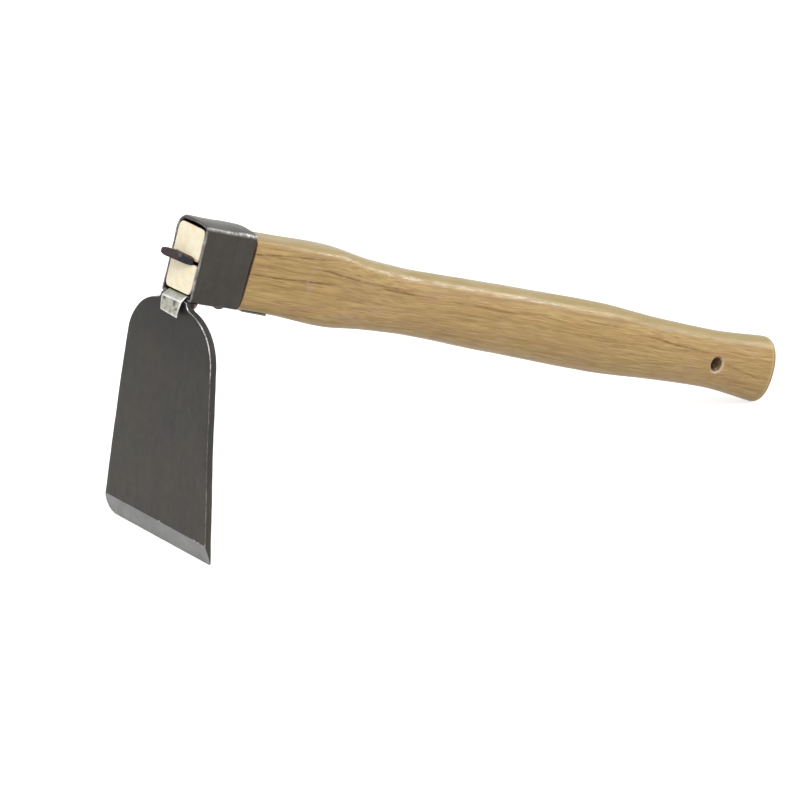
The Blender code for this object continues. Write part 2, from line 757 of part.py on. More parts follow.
def place_side_profile(item, y):
    """Turn a profile drawn in distance and height so that it stands along the hoe."""
    item.rotation_euler = (math.pi / 2.0, 0.0, 0.0)
    item.location = (0.0, y, 0.0)


def make_strip(parts, hoe):
    """Model the bent steel strip that keeps the tenon in the collar."""
    path = strip_path()
    left = side_of(path, STRIP_THICKNESS / 2.0)
    right = side_of(path, -STRIP_THICKNESS / 2.0)
    strip = outline_object("keeper_strip", [left + right[::-1]], STRIP_WIDTH, parts, hoe)
    front_end = min(point.y for point in path)
    for vertex in strip.data.vertices:
        if vertex.co.y < front_end + STRIP_THICKNESS:
            vertex.co.y -= STRIP_END_SKEW * vertex.co.z / STRIP_WIDTH
    place_side_profile(strip, STRIP_Y)
    round_edges(strip, STRIP_ROUND)
    return strip


def groove_cutter(cutters, hoe):
    """Return the groove under the handle's head, open below, that the strip's tail lies in."""
    path = strip_path()[:3]
    inner = Vector((COLLAR_MIDDLE, STRIP_Z))
    direction = (path[0] - path[1]).normalized()
    path[0] += direction * FIT_GAP
    top = side_of([*path, inner], -STRIP_THICKNESS / 2.0 - FIT_GAP)
    below = -HEAD_HEIGHT
    outline = top + [Vector((inner.x, below)), Vector((path[0].x, below))]
    width = STRIP_WIDTH + 2.0 * FIT_GAP
    cutter = outline_object("groove_cutter", [outline], width, cutters, hoe)
    place_side_profile(cutter, STRIP_Y)
    return make_cutter(cutter)


# Stance

def world_points(items):
    """Return every corner of the finished pieces, in the world."""
    bpy.context.view_layer.update()
    graph = bpy.context.evaluated_depsgraph_get()
    points = []
    for item in items:
        mesh = item.evaluated_get(graph).data
        points += [item.matrix_world @ vertex.co for vertex in mesh.vertices]
    return points


def stand_on_ground(hoe, blade, handle, pieces):
    """Tilt the hoe onto its cutting edge and butt, and centre it over the origin."""
    edge = min(world_points([blade]), key=lambda point: point.z)
    angles = []
    for point in world_points([handle]):
        if point.x > HANDLE_LENGTH / 2.0:
            angles.append(math.atan2(point.z - edge.z, point.x - edge.x))
    hoe.rotation_euler = (0.0, min(angles), 0.0)
    points = world_points(pieces)
    low = [min(point[k] for point in points) for k in range(3)]
    high = [max(point[k] for point in points) for k in range(3)]
    hoe.location = (-(low[0] + high[0]) / 2.0, -(low[1] + high[1]) / 2.0, -low[2])
    bpy.context.view_layer.update()


def main():
    """Build the hoe."""
    clear_scene()
    parts = new_collection("hand_hoe")
    cutters = new_collection("hand_hoe_cutters")
    hoe = bpy.data.objects.new("hoe_frame", None)
    parts.objects.link(hoe)
    under_floor = floor_cutter(cutters, hoe)
    collar = make_collar(parts, hoe)
    blade = make_blade(parts, cutters, hoe, under_floor)
    neck_weld, seam_weld = make_welds(parts, cutters, hoe, under_floor)
    handle = make_handle(parts, cutters, hoe)
    wedge = make_wedge(parts, hoe)
    strip = make_strip(parts, hoe)
    finishes = (
        (collar, "blackened_steel"),
        (blade, "blackened_steel"),
        (neck_weld, "weld_bead"),
        (seam_weld, "weld_bead"),
        (handle, "lacquered_wood"),
        (wedge, "rough_iron"),
        (strip, "bright_strip"),
    )
    for item, finish in finishes:
        item.data.materials.clear()
        item.data.materials.append(finish_material(finish))
        shade(item)
    stand_on_ground(hoe, blade, handle, [item for item, finish in finishes])


main()
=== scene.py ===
"""The look of a short hand hoe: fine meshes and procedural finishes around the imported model.

The pieces are shaped in the hoe's own frame, in metres: the origin is on the collar's axis at
its front rim, +X runs along the handle to the butt, +Z up across the collar, +Y across the blade.
"""

import json
from math import asin, atan2, copysign, cos, degrees, exp, hypot, pi, radians, sin, sqrt, tan

import bmesh
import bpy
from mathutils import Euler, Matrix, Vector, noise


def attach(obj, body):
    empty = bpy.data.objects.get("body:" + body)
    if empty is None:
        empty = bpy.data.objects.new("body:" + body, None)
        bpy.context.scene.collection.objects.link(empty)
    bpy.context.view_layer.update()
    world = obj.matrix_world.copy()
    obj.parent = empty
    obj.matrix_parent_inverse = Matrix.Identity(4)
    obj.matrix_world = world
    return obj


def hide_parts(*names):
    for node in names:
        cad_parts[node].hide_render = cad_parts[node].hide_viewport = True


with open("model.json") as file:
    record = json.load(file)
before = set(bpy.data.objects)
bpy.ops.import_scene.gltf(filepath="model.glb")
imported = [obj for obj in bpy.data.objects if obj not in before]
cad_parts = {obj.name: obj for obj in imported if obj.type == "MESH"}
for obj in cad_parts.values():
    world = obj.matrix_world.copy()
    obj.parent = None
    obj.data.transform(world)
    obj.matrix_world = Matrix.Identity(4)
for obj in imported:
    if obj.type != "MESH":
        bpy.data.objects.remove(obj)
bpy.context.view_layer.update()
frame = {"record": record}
QUARTER = pi / 2.0
MILLI = 1000.0

# Collar; all waves are layers of smooth noise, each with its size, depth and seed
COLLAR_LENGTH = 0.028
COLLAR_HALF_WIDTH = 0.0107
COLLAR_WALL = 0.0015
COLLAR_BEND = 0.0017
NEAR_BEND = 0.0025
FAR_BEND_FRONT = 0.0064
FAR_BEND_REAR = 0.0036
LEAST_BEND = 0.0004
CROWN_Z = 0.01795
CROWN_RISE = 0.0013
CROWN_RADIUS = (COLLAR_HALF_WIDTH ** 2 + CROWN_RISE ** 2) / (2.0 * CROWN_RISE)
SIDE_TOP = CROWN_Z - CROWN_RISE - 0.0018
FLOOR_Z = -0.01705
FRONT_SLANT = radians(3.0)
REAR_SLANT = radians(0.8)
RIM_OUTER_ROUND = 0.0007
RIM_INNER_ROUND = 0.0003
REAR_ROUND = 0.0004
SIDE_MOUNT_X = 0.014011
SIDE_MOUNT_Z = -0.000407
COLLAR_WAVES = ((0.011, 0.00028, 1.0), (0.0045, 0.00010, 2.0), (0.0016, 0.00003, 3.0))

# Blade, measured along itself from the collar's underside
BLADE_LENGTH = 0.110
BLADE_THICKNESS = 0.0035
BLADE_TILT = radians(13.9)
BLADE_BACK = Vector((cos(BLADE_TILT), 0.0, sin(BLADE_TILT)))
BLADE_BOW = 0.0008
EDGE_WIDTH = 0.075
SIDE_TAPER = radians(5.0)
SHOULDER_RADIUS = 0.022
SHOULDER_DROP = 0.0032
NECK_WIDTH = 0.018
NECK_FILLET = 0.004
FAR_CORNER = 0.0055
NEAR_CORNER = 0.0010
GROUND_LENGTH = 0.0092
GROUND_TOP = -BLADE_LENGTH + GROUND_LENGTH
EDGE_LAND = 0.0003
BLADE_EDGE_ROUND = 0.00055
LATTICE_SPACING = 0.0037
STONE_WAVES = ((0.006, 0.00005, 4.0), (0.0015, 0.000025, 6.0))
PLATE_WAVES = ((0.030, 0.00030, 7.0), (0.009, 0.00007, 8.0))
SIDE_WAVES = ((0.012, 0.00030, 9.0),)

# The sides' waves are read on this line and fade towards the middle
SIDE_LINE = 0.01
SIDE_FADE = 0.02

# The plate's mean rise, and how fast its waves die at the neck and the edge
PLATE_RISE = 0.00020
PLATE_HOLD = 8.0
STONE_THICKNESS = 0.008

# How far off the front and past the grind's top a face may lie to count as ground
GROUND_CLEAR = 0.00004
GROUND_MARGIN = 0.0012

# Chips where the ground face begins: place across the blade and size
CHIPS = (
    (-0.0034, 0.00026),
    (0.0016, 0.00012),
    (-0.0120, 0.00012),
    (-0.0290, 0.00024),
    (-0.0318, 0.00020),
)
CHIP_DEPTH = 0.45
CHIP_REACH = 0.0008

# Weld beads: length, radius, how many times wider than high, and number of ripples
NECK_BEAD = (0.0205, 0.0036, 1.0, 11)
SEAM_BEAD = (0.0038, 0.0009, 2.8, 3)
SEAM_PLACE = Vector((0.0190, -0.0070, FLOOR_Z))
WELD_SINK = 0.0001
BEAD_RINGS = 72
BEAD_END = 0.12
BEAD_RIPPLE = 0.07
BEAD_LAG = 0.0005
BEAD_WAVES = ((0.0022, 0.00022, 11.0), (0.0008, 0.00009, 12.0))

# Handle stations: share of the body, height, width, drop of the centre below the collar's axis and
# squareness (2 is an ellipse)
STATIONS = (
    (0.000, 0.0326, 0.0212, 0.0008, 6.0),
    (0.072, 0.0334, 0.0222, 0.0011, 4.6),
    (0.150, 0.0350, 0.0230, 0.0020, 3.6),
    (0.234, 0.0308, 0.0216, 0.0031, 2.8),
    (0.312, 0.0293, 0.0206, 0.0036, 2.5),
    (0.472, 0.0312, 0.0220, 0.0047, 2.3),
    (0.652, 0.0327, 0.0232, 0.0059, 2.2),
    (0.788, 0.0290, 0.0216, 0.0069, 2.2),
    (0.893, 0.0278, 0.0200, 0.0075, 2.2),
    (1.000, 0.0319, 0.0213, 0.0087, 2.2),
)
SHOULDER_X = 0.0282
HANDLE_LENGTH = 0.3636
BUTT_ROUND = 0.0018
BUTT_DOME = 0.0012
BUTT_SLANT = radians(2.0)
BUTT_SLANT_REACH = 0.024
BODY_LENGTH = HANDLE_LENGTH - BUTT_DOME - BUTT_ROUND - SHOULDER_X
BODY_END = SHOULDER_X + BODY_LENGTH
BODY_RINGS = 250
TENON_HALF_WIDTH = 0.0090
TENON_TOP = 0.0149
TENON_BOTTOM = -0.01415
TENON_SQUARENESS = 10.0
HOLE_X = HANDLE_LENGTH - 0.0401
HOLE_Z = -0.00806
HOLE_RADIUS = 0.0034
COUNTERSINK_RADIUS = 0.0047
COUNTERSINK_DEPTH = 0.0010
TOOL_BEYOND = 0.002
KERF_FRONT = -0.004
KERF_END = 0.025
KERF_HALF_WIDTH = 0.012
KERF_BELOW = 0.0013
KERF_ABOVE = 0.0004
BUTT_CALM = 0.15
BUTT_CALM_REACH = 0.012
HANDLE_WAVES = ((0.040, 0.00026, 21.0), (0.014, 0.00010, 22.0), (0.004, 0.00002, 23.0))

# Wedge; the corner's, the swell's and the tip's thicknesses are halves
WEDGE_Z = 0.0004
WEDGE_Y = 0.0013
WEDGE_HALF_WIDTH = 0.0075
WEDGE_TIP_NARROWING = 0.17
WEDGE_ROUNDNESS = 0.12
WEDGE_CORNER = 0.00125
WEDGE_SWELL = 0.00135
WEDGE_FAR_THINNING = 0.00010
WEDGE_TIP = 0.0005
WEDGE_TILT = 0.0005
WEDGE_BURIED = 0.016
WEDGE_PROUD_FAR = 0.0066
WEDGE_PROUD_NEAR = 0.0006
WEDGE_SEAT_GAP = 0.00012
WEDGE_WAVES = ((0.0030, 0.00024, 31.0), (0.0011, 0.000108, 32.0))

# Keeper strip
STRIP_THICKNESS = 0.0009
STRIP_HALF_WIDTH = 0.0065
STRIP_Y = -0.0009
STRIP_FLOOR_GAP = 0.00005
STRIP_TAIL = 0.0187
STRIP_TAIL_DEPTH = 0.00005
STRIP_STEP = 0.0048
STRIP_REACH = 0.0013
STRIP_SLOPE = radians(47.0)
STRIP_BEND = 0.0011
STRIP_LEAN = radians(7.0)
STRIP_DROP = 0.0061
STRIP_FRONT_STEPS = 10
STRIP_NARROWING = 0.0005
STRIP_SKEW = 0.00035
STRIP_YAW = 0.0003
STRIP_END_YAW = 0.0005
STRIP_YAW_REACH = 0.0015
GROOVE_GAP = 0.0002
STRIP_WAVES = ((0.006, 0.00016, 41.0), (0.0022, 0.00006, 42.0))

# Camera, fitted to the photograph's outline and given in the hoe's own frame
CAMERA_PLACE = Vector((-1.364658, -1.600325, 0.302230))
CAMERA_TURN = Euler((radians(80.57642), radians(-16.20469), radians(-40.65553)))
CAMERA_LENS = 225.0
SENSOR_WIDTH = 36.0

# Studio; each soft box has a name, a place, a size and a power in watts
WHITE = (1.0, 1.0, 1.0)
FLOOR_TONE = 0.60
FLOOR_GLOW = 0.74
FLOOR_REACH = 6.0
WORLD_LEVEL = 0.50
TARGET = Vector((0.0, 0.0, 0.06))
SOFT_BOXES = (
    ("overhead_box", (-0.60, -0.75, 1.65), (1.0, 1.0), 18.0),
    ("front_box", (-1.60, 0.10, 0.80), (0.8, 0.8), 6.0),
    ("right_strip_box", (1.71, -0.36, 1.01), (0.22, 0.5), 10.0),
    ("near_right_box", (1.24, -1.40, 0.76), (0.5, 0.5), 7.0),
    ("rear_box", (-1.10, 1.58, 0.56), (0.4, 0.4), 3.0),
)


# The hoe's own frame in the world

def hoe_matrix(record):
    """Find the hoe's frame from the collar's near side mount and the hanging hole."""
    mounts = {mount["name"]: Vector(mount["pos_m"]) for mount in record["mounts"]}
    side = mounts["collar_near_side"]
    low, high = record["physics"]["openings"][0]["box_m"]
    hole = (Vector(low) + Vector(high)) / 2.0
    own_side = Vector((SIDE_MOUNT_X, -COLLAR_HALF_WIDTH, SIDE_MOUNT_Z))
    own_hole = Vector((HOLE_X, 0.0, HOLE_Z))
    own_angle = atan2(own_hole.z - own_side.z, own_hole.x - own_side.x)
    angle = atan2(hole.z - side.z, hole.x - side.x)
    turn = Matrix.Rotation(own_angle - angle, 4, "Y")
    return Matrix.Translation(side - turn @ own_side) @ turn


HOE = hoe_matrix(frame["record"])


# Curves

def clamped(value):
    """Keep a value between 0 and 1."""
    return min(max(value, 0.0), 1.0)


def hump(value, middle, reach):
    """Return 1 at the middle, falling to 0 a reach away."""
    return max(0.0, 1.0 - abs(value - middle) / reach)


def ripples(point, waves):
    """Return the height of waves at a point."""
    height = 0.0
    for size, depth, seed in waves:
        height += depth * noise.noise(point / size + Vector((seed, 2.3 * seed, 5.1 * seed)))
    return height


def angles(count, offset=0.0):
    """Return even angles all round, the first a share of a step from 0."""
    return [2.0 * pi * (k + offset) / count for k in range(count)]


def squared(angle, power):
    """Return a direction's two parts, squared off by a power under 1."""
    return [copysign(abs(part) ** power, part) for part in (cos(angle), sin(angle))]


def arc(centre, radius, start, end, steps):
    """Return an arc's points, both ends included."""
    across, up = centre
    turns = [start + (end - start) * k / steps for k in range(steps + 1)]
    return [Vector((across + radius * cos(turn), up + radius * sin(turn))) for turn in turns]


def straight(start, end, steps):
    """Return the points inside a straight stretch."""
    return [start.lerp(end, k / steps) for k in range(1, steps)]


def mirrored(points):
    """Mirror an outline's points, in the opposite order."""
    return [Vector((-point.x, point.y)) for point in reversed(points)]


def oval(x, centre_z, half_height, half_width, squareness):
    """Return a ring between an ellipse and a rounded rectangle."""
    parts = [squared(angle, 2.0 / squareness) for angle in angles(112, 0.5)]
    return [Vector((x, half_width * across, centre_z + half_height * up)) for across, up in parts]


# Meshes

SAME_POINT = 4e-6
SAME_LINE = 5e-6
ON_PLANE = 1e-6


def linked(name, data):
    """Return a new object, linked to the scene."""
    item = bpy.data.objects.new(name, data)
    bpy.context.scene.collection.objects.link(item)
    return item


def opened(mesh):
    """Return a mesh's shape for editing."""
    shape = bmesh.new()
    shape.from_mesh(mesh)
    return shape


def put_back(shape, mesh):
    """Write a shape into its mesh and free it."""
    shape.to_mesh(mesh)
    shape.free()


def as_object(name, shape):
    """Turn a shape into an object."""
    mesh = bpy.data.meshes.new(name)
    put_back(shape, mesh)
    return linked(name, mesh)


def loft(name, rings, closed=False):
    """Skin rings of points, and cap the ends or close the loop."""
    shape = bmesh.new()
    loops = [[shape.verts.new(point) for point in ring] for ring in rings]
    count = len(loops[0])
    pairs = list(zip(loops, loops[1:]))
    if closed:
        pairs.append((loops[-1], loops[0]))
    for first, second in pairs:
        for k in range(count):
            after = (k + 1) % count
            shape.faces.new((first[k], second[k], second[after], first[after]))
    if not closed:
        shape.faces.new(loops[0])
        shape.faces.new(loops[-1])
    bmesh.ops.recalc_face_normals(shape, faces=shape.faces)
    return as_object(name, shape)


def prism(name, outline, low, high):
    """Return an (x, z) outline drawn out along Y."""
    return loft(name, [[Vector((x, y, z)) for x, z in outline] for y in (low, high)])


def slice_shape(shape, place, direction, clear=False):
    """Cut a shape along a plane, and clear its far side where told to."""
    whole = shape.verts[:] + shape.edges[:] + shape.faces[:]
    bmesh.ops.bisect_plane(shape, geom=whole, plane_co=place, plane_no=direction, dist=ON_PLANE,
                           clear_outer=clear)


def clean(mesh):
    """Merge doubled points, and drop those that only split a straight edge."""
    shape = opened(mesh)
    bmesh.ops.remove_doubles(shape, verts=shape.verts, dist=SAME_POINT)
    for vertex in shape.verts[:]:
        edges = vertex.link_edges
        if len(edges) != 2 or min(len(face.verts) for face in vertex.link_faces) < 4:
            continue
        first, last = [edge.other_vert(vertex) for edge in edges]
        line = (last.co - first.co).normalized()
        off_line = (vertex.co - first.co).cross(line).length
        if off_line < SAME_LINE and not shape.edges.get((first, last)):
            bmesh.utils.vert_collapse_edge(vertex, edges[0])
    put_back(shape, mesh)


def carve(item, cutters):
    """Cut shapes out of an object, and remove the cutters."""
    for cutter in cutters:
        modifier = item.modifiers.new(cutter.name, "BOOLEAN")
        modifier.operation = "DIFFERENCE"
        modifier.solver = "EXACT"
        modifier.object = cutter
    bpy.context.view_layer.update()
    graph = bpy.context.evaluated_depsgraph_get()
    mesh = bpy.data.meshes.new_from_object(item.evaluated_get(graph))
    clean(mesh)
    name = item.name
    for used in [item, *cutters]:
        bpy.data.objects.remove(used, do_unlink=True)
    return linked(name, mesh)


def roughen(item, waves, inset=0.0, hold=None):
    """Push a mesh's points out by waves; hold scales the push."""
    normals = [vertex.normal.copy() for vertex in item.data.vertices]
    for vertex, normal in zip(item.data.vertices, normals):
        height = ripples(vertex.co, waves) - inset
        vertex.co += normal * (height * (hold(vertex.co) if hold else 1.0))


def mark(item, name, domain, values, kind="FLOAT", key="value"):
    """Store values for a material on faces or points."""
    attribute = item.data.attributes.new(name, kind, domain)
    attribute.data.foreach_set(key, values)


def mark_points(item, name, value):
    """Mark each point by its place and normal."""
    mark(item, name, "POINT", [value(vertex.co, vertex.normal) for vertex in item.data.vertices])


def mark_faces(item, name, value):
    """Mark each face."""
    mark(item, name, "FACE", [float(value(face)) for face in item.data.polygons])


def settle(item, node, slot, sharp):
    """Mark the places in millimetres, shade the piece and stand it in the world."""
    mesh = item.data
    places = [part * MILLI for vertex in mesh.vertices for part in vertex.co]
    mark(item, "place", "POINT", places, "FLOAT_VECTOR", "vector")
    mesh.shade_smooth()
    mesh.set_sharp_from_angle(angle=radians(sharp))
    mesh.transform(HOE)
    mesh.materials.clear()
    mesh.materials.append(LOOKS[slot])
    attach(item, "root")
    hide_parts(node)


# Node materials

class Nodes:
    """The nodes of a material or a world, with short calls to add them."""

    def __init__(self, owner, shader):
        owner.use_nodes = True
        self.owner = owner
        self.nodes = owner.node_tree.nodes
        self.links = owner.node_tree.links
        self.shader = self.nodes[shader]

    def put(self, socket, value):
        """Link an input to a socket, or set its value."""
        if isinstance(value, bpy.types.NodeSocket):
            self.links.new(value, socket)
        elif value is not None:
            socket.default_value = (*value, 1.0) if socket.type == "RGBA" else value

    def fill(self, node, inputs):
        """Set a node's inputs by name."""
        for name, value in inputs.items():
            self.put(node.inputs[name.replace("_", " ")], value)

    def own(self, kind, settings=None, **inputs):
        """Add a node with its settings and inputs."""
        node = self.nodes.new("ShaderNode" + kind)
        for name, value in (settings or {}).items():
            setattr(node, name, value)
        self.fill(node, inputs)
        return node

    def spread(self, value, low, high, start=0.0, end=1.0):
        """Run from start to end as a value runs from low to high."""
        node = self.own("MapRange", Value=value, From_Min=low, From_Max=high, To_Min=start,
                        To_Max=end)
        return node.outputs["Result"]

    def calc(self, operation, first, second=None, third=None, clamp=False):
        """Work out a value from one to three others."""
        node = self.own("Math", {"operation": operation, "use_clamp": clamp})
        for socket, value in zip(node.inputs, (first, second, third)):
            self.put(socket, value)
        return node.outputs["Value"]

    def times(self, first, second):
        """Multiply two values."""
        return self.calc("MULTIPLY", first, second)

    def plus(self, first, second):
        """Add two values."""
        return self.calc("ADD", first, second)

    def line(self, value, slope, start, clamp=False):
        """Return a value times a slope, plus a start."""
        return self.calc("MULTIPLY_ADD", value, slope, start, clamp)

    def finish(self, **inputs):
        """Set the shader and return its owner."""
        self.fill(self.shader, inputs)
        return self.owner


class Finish(Nodes):
    """A material of the hoe, laid out by the marked places in millimetres."""

    def __init__(self, name):
        super().__init__(bpy.data.materials.new(name), "Principled BSDF")
        self.place = self.attribute("place", "Vector")
        self.x, self.y, self.z = self.split(self.place)
        self.facing = self.split(self.own("NewGeometry").outputs["Normal"])[2]

    def attribute(self, name, output="Fac"):
        """Read what is marked on the mesh."""
        return self.own("Attribute", {"attribute_name": name}).outputs[output]

    def split(self, vector):
        """Return the three parts of a vector."""
        node = self.own("SeparateXYZ", Vector=vector)
        return [node.outputs[axis] for axis in "XYZ"]

    def joined(self, x, y, z):
        """Return a vector of three parts."""
        return self.own("CombineXYZ", X=x, Y=y, Z=z).outputs["Vector"]

    def scaled(self, vector, scale, shift=(0.0, 0.0, 0.0)):
        """Scale a place along each axis, then shift it."""
        return self.own("Mapping", Vector=vector, Scale=scale, Location=shift).outputs["Vector"]

    def noise(self, scale, detail, roughness, shift=(0.0, 0.0, 0.0), distortion=0.0, flow=None):
        """Return noise about 0.5 over the place, or over a flow of it."""
        axes = scale if isinstance(scale, tuple) else (scale, scale, scale)
        node = self.own("TexNoise", Vector=self.scaled(flow or self.place, axes, shift),
                        Scale=1.0, Detail=detail, Roughness=roughness, Distortion=distortion)
        return node.outputs["Fac"]

    def steps(self, share, stops):
        """Run a share through stops."""
        node = self.own("ValToRGB", Fac=share)
        ramp = node.color_ramp
        while len(ramp.elements) < len(stops):
            ramp.elements.new(1.0)
        for element, (position, value) in zip(ramp.elements, stops):
            element.position = position
            element.color = (value, value, value, 1.0)
        return node.outputs["Color"]

    def mix(self, share, first, second, blend="MIX"):
        """Blend two colours."""
        node = self.own("Mix", {"data_type": "RGBA", "blend_type": blend})
        for number, value in ((0, share), (6, first), (7, second)):
            self.put(node.inputs[number], value)
        return node.outputs[2]

    def over(self, base, colour, value, low, high, most=1.0):
        """Lay a colour over a base, up to the most as a value runs from low to high."""
        return self.mix(self.spread(value, low, high, 0.0, most), base, colour)

    def toned(self, base, value, low, high, dark, pale):
        """Multiply a base by dark to pale as a value runs from low to high."""
        return self.mix(1.0, base, self.spread(value, low, high, dark, pale), "MULTIPLY")

    def bump(self, height, distance, strength):
        """Return a normal bumped by a height."""
        return self.own("Bump", Height=height, Distance=distance, Strength=strength).outputs[0]

    def near(self, vector, centre, radius, soft):
        """Return 1 within a radius of a point, falling softly to 0 beyond it."""
        node = self.own("VectorMath", {"operation": "DISTANCE"})
        self.put(node.inputs[0], vector)
        self.put(node.inputs[1], centre)
        return self.line(node.outputs["Value"], -1.0 / soft, radius / soft + 0.5, clamp=True)


SCALE_DARK = (0.028, 0.026, 0.021)
SCALE_WARM = (0.059, 0.048, 0.035)
SCALE_GREEN = (0.047, 0.047, 0.034)
SCALE_VIOLET = (0.052, 0.042, 0.040)
SCALE_PALE = (0.115, 0.105, 0.092)
# Painted sheen of light for upward faces
SCALE_PAINTED_SKY_SHEEN = (0.175, 0.177, 0.165)
# Bare steel, also the colour of painted highlights
BARE_STEEL_AND_HIGHLIGHT = (0.50, 0.48, 0.475)
GROUND_DARK = (0.150, 0.150, 0.146)
GROUND_PALE = (0.208, 0.206, 0.202)

# How much the steel's colour is darkened by height, from the collar's underside, at 0, to the cutting
# edge, at 1; darkest just below the collar
SCALE_LEVELS = ((0.0, 0.66), (0.04, 0.22), (0.3, 0.50), (1.0, 0.80))


def steel_scale(f, grain, speck):
    """Colour the forge scale: mottled and streaked down the blade, with a painted pale sheen of light
    on upward faces.
    """
    broad = f.noise((0.05, 0.05, 0.03), 4.0, 0.55, distortion=0.3)
    tint = f.noise((0.035, 0.07, 0.02), 3.0, 0.5, (7.0, 3.0, 9.0))
    streaks = f.noise((0.3, 0.30, 0.04), 4.0, 0.6, (1.0, 2.0, 3.0))
    mottle = f.noise(0.22, 4.0, 0.6, (6.0, 5.0, 1.0))
    base = f.over(SCALE_GREEN, SCALE_VIOLET, tint, 0.38, 0.60)
    base = f.over(base, SCALE_WARM, broad, 0.38, 0.64)
    base = f.over(base, SCALE_DARK, streaks, 0.50, 0.30, 0.45)
    base = f.toned(base, mottle, 0.3, 0.7, 0.84, 1.14)
    base = f.toned(base, grain, 0.2, 0.8, 0.74, 1.24)
    base = f.over(base, SCALE_PALE, speck, 0.64, 0.78, 0.6)
    base = f.mix(1.0, base, f.steps(f.spread(f.z, -15.0, -115.0), SCALE_LEVELS), "MULTIPLY")
    # Painted sheen: upward faces are painted paler as if lit from above, more on the far side
    painted_sky_sheen = f.times(f.spread(f.facing, 0.6, 0.95), f.spread(f.y, -9.0, 3.0, 0.15, 0.85))
    return f.mix(painted_sky_sheen, base, SCALE_PAINTED_SKY_SHEEN)


def blackened_steel():
    """Forge-blackened steel with bright worn edges, painted highlights on the collar's top bends and
    the blade's near edge, and a ground cutting edge.
    """
    f = Finish("blackened_steel_look")
    grain = f.noise(1.6, 5.0, 0.65)
    speck = f.noise(0.45, 6.0, 0.7, (4.0, 4.0, 4.0))
    rubbed = f.noise((0.35, 0.35, 0.22), 5.0, 0.7, (2.0, 8.0, 5.0))
    lines = f.noise((0.6, 5.5, 0.25), 3.0, 0.6)
    cloud = f.noise((0.1, 0.12, 0.1), 4.0, 0.55, (3.0, 1.0, 6.0))
    ground = f.attribute("ground")
    # Bare steel where worn, and painted highlights on the collar's top bends and the blade's near edge
    wear_and_highlight = f.times(f.attribute("wear_and_highlight"), f.spread(rubbed, 0.42, 0.64, 0.35, 1.3))
    stone = f.over(GROUND_DARK, GROUND_PALE, cloud, 0.35, 0.65)
    stone = f.toned(stone, lines, 0.25, 0.75, 0.88, 1.1)
    colour = f.mix(wear_and_highlight, f.mix(ground, steel_scale(f, grain, speck), stone), BARE_STEEL_AND_HIGHLIGHT)
    bright = f.calc("MAXIMUM", wear_and_highlight, ground)
    metal = f.line(bright, 0.60, 0.20)
    rough = f.line(bright, -0.08, f.line(grain, 0.22, 0.34))
    skin = f.line(lines, f.times(ground, 0.5), f.line(speck, 0.6, grain))
    normal = f.bump(skin, 0.00009, 0.55)
    return f.finish(Base_Color=colour, Metallic=metal, Roughness=rough, Normal=normal,
                    Specular_IOR_Level=0.36)


STRIP_DULL = (0.075, 0.073, 0.062)
STRIP_CLEAN = (0.41, 0.40, 0.345)
STRIP_OLIVE = (0.36, 0.38, 0.25)
# Painted highlight, also the polish of the edges
STRIP_HIGHLIGHT_AND_POLISH = (0.90, 0.90, 0.87)
# Painted shade for the tail under the handle
STRIP_TAIL_PAINTED_SHADE = (0.130, 0.130, 0.122)


def bright_strip():
    """Bare steel: drawn streaks, dull patches, olive on its upward faces, a painted highlight across
    the bend and along the partly polished edges, and painted shade on the tail under the handle.
    """
    f = Finish("bright_strip_look")
    streaks = f.noise((0.6, 2.6, 0.3), 4.0, 0.6)
    patches = f.noise(0.32, 4.0, 0.6, (5.0, 1.0, 2.0), 0.6)
    grain = f.noise(3.0, 3.0, 0.6)
    base = f.over(STRIP_DULL, STRIP_CLEAN, patches, 0.38, 0.58)
    base = f.over(base, STRIP_OLIVE, f.facing, 0.86, 0.95, 0.9)
    base = f.toned(base, streaks, 0.25, 0.75, 0.84, 1.1)
    # Painted highlight across the bend and along the edges, which are partly polished
    base = f.mix(f.times(f.attribute("rim"), 0.85), base, STRIP_HIGHLIGHT_AND_POLISH)
    # Painted shade on the tail, which lies under the handle
    base = f.over(base, STRIP_TAIL_PAINTED_SHADE, f.x, 20.0, 26.0)
    rough = f.line(patches, -0.25, 0.48)
    normal = f.bump(f.line(patches, 0.8, f.plus(streaks, grain)), 0.00012, 0.5)
    return f.finish(Base_Color=base, Metallic=0.85, Roughness=rough, Normal=normal)


BEAD_DARK = (0.070, 0.058, 0.058)
BEAD_STRAW = (0.17, 0.125, 0.115)
BEAD_BRIGHT = (0.34, 0.28, 0.27)


def weld_bead():
    """Weld metal: oxide skin with straw and violet heat tints."""
    f = Finish("weld_bead_look")
    grain = f.noise(1.8, 5.0, 0.7)
    base = f.over(BEAD_DARK, BEAD_STRAW, f.noise(0.35, 3.0, 0.6), 0.35, 0.65)
    base = f.over(base, BEAD_BRIGHT, grain, 0.6, 0.8, 0.7)
    rough = f.line(grain, 0.3, 0.32)
    normal = f.bump(grain, 0.00016, 0.7)
    return f.finish(Base_Color=base, Metallic=0.5, Roughness=rough, Normal=normal)


IRON_BLUE = (0.008, 0.008, 0.015)
IRON_BROWN = (0.045, 0.026, 0.028)
# Painted brown highlight
IRON_PAINTED_HIGHLIGHT = (0.15, 0.075, 0.045)
IRON_BLACK = (0.010, 0.009, 0.010)
IRON_FLECK = (0.20, 0.165, 0.185)


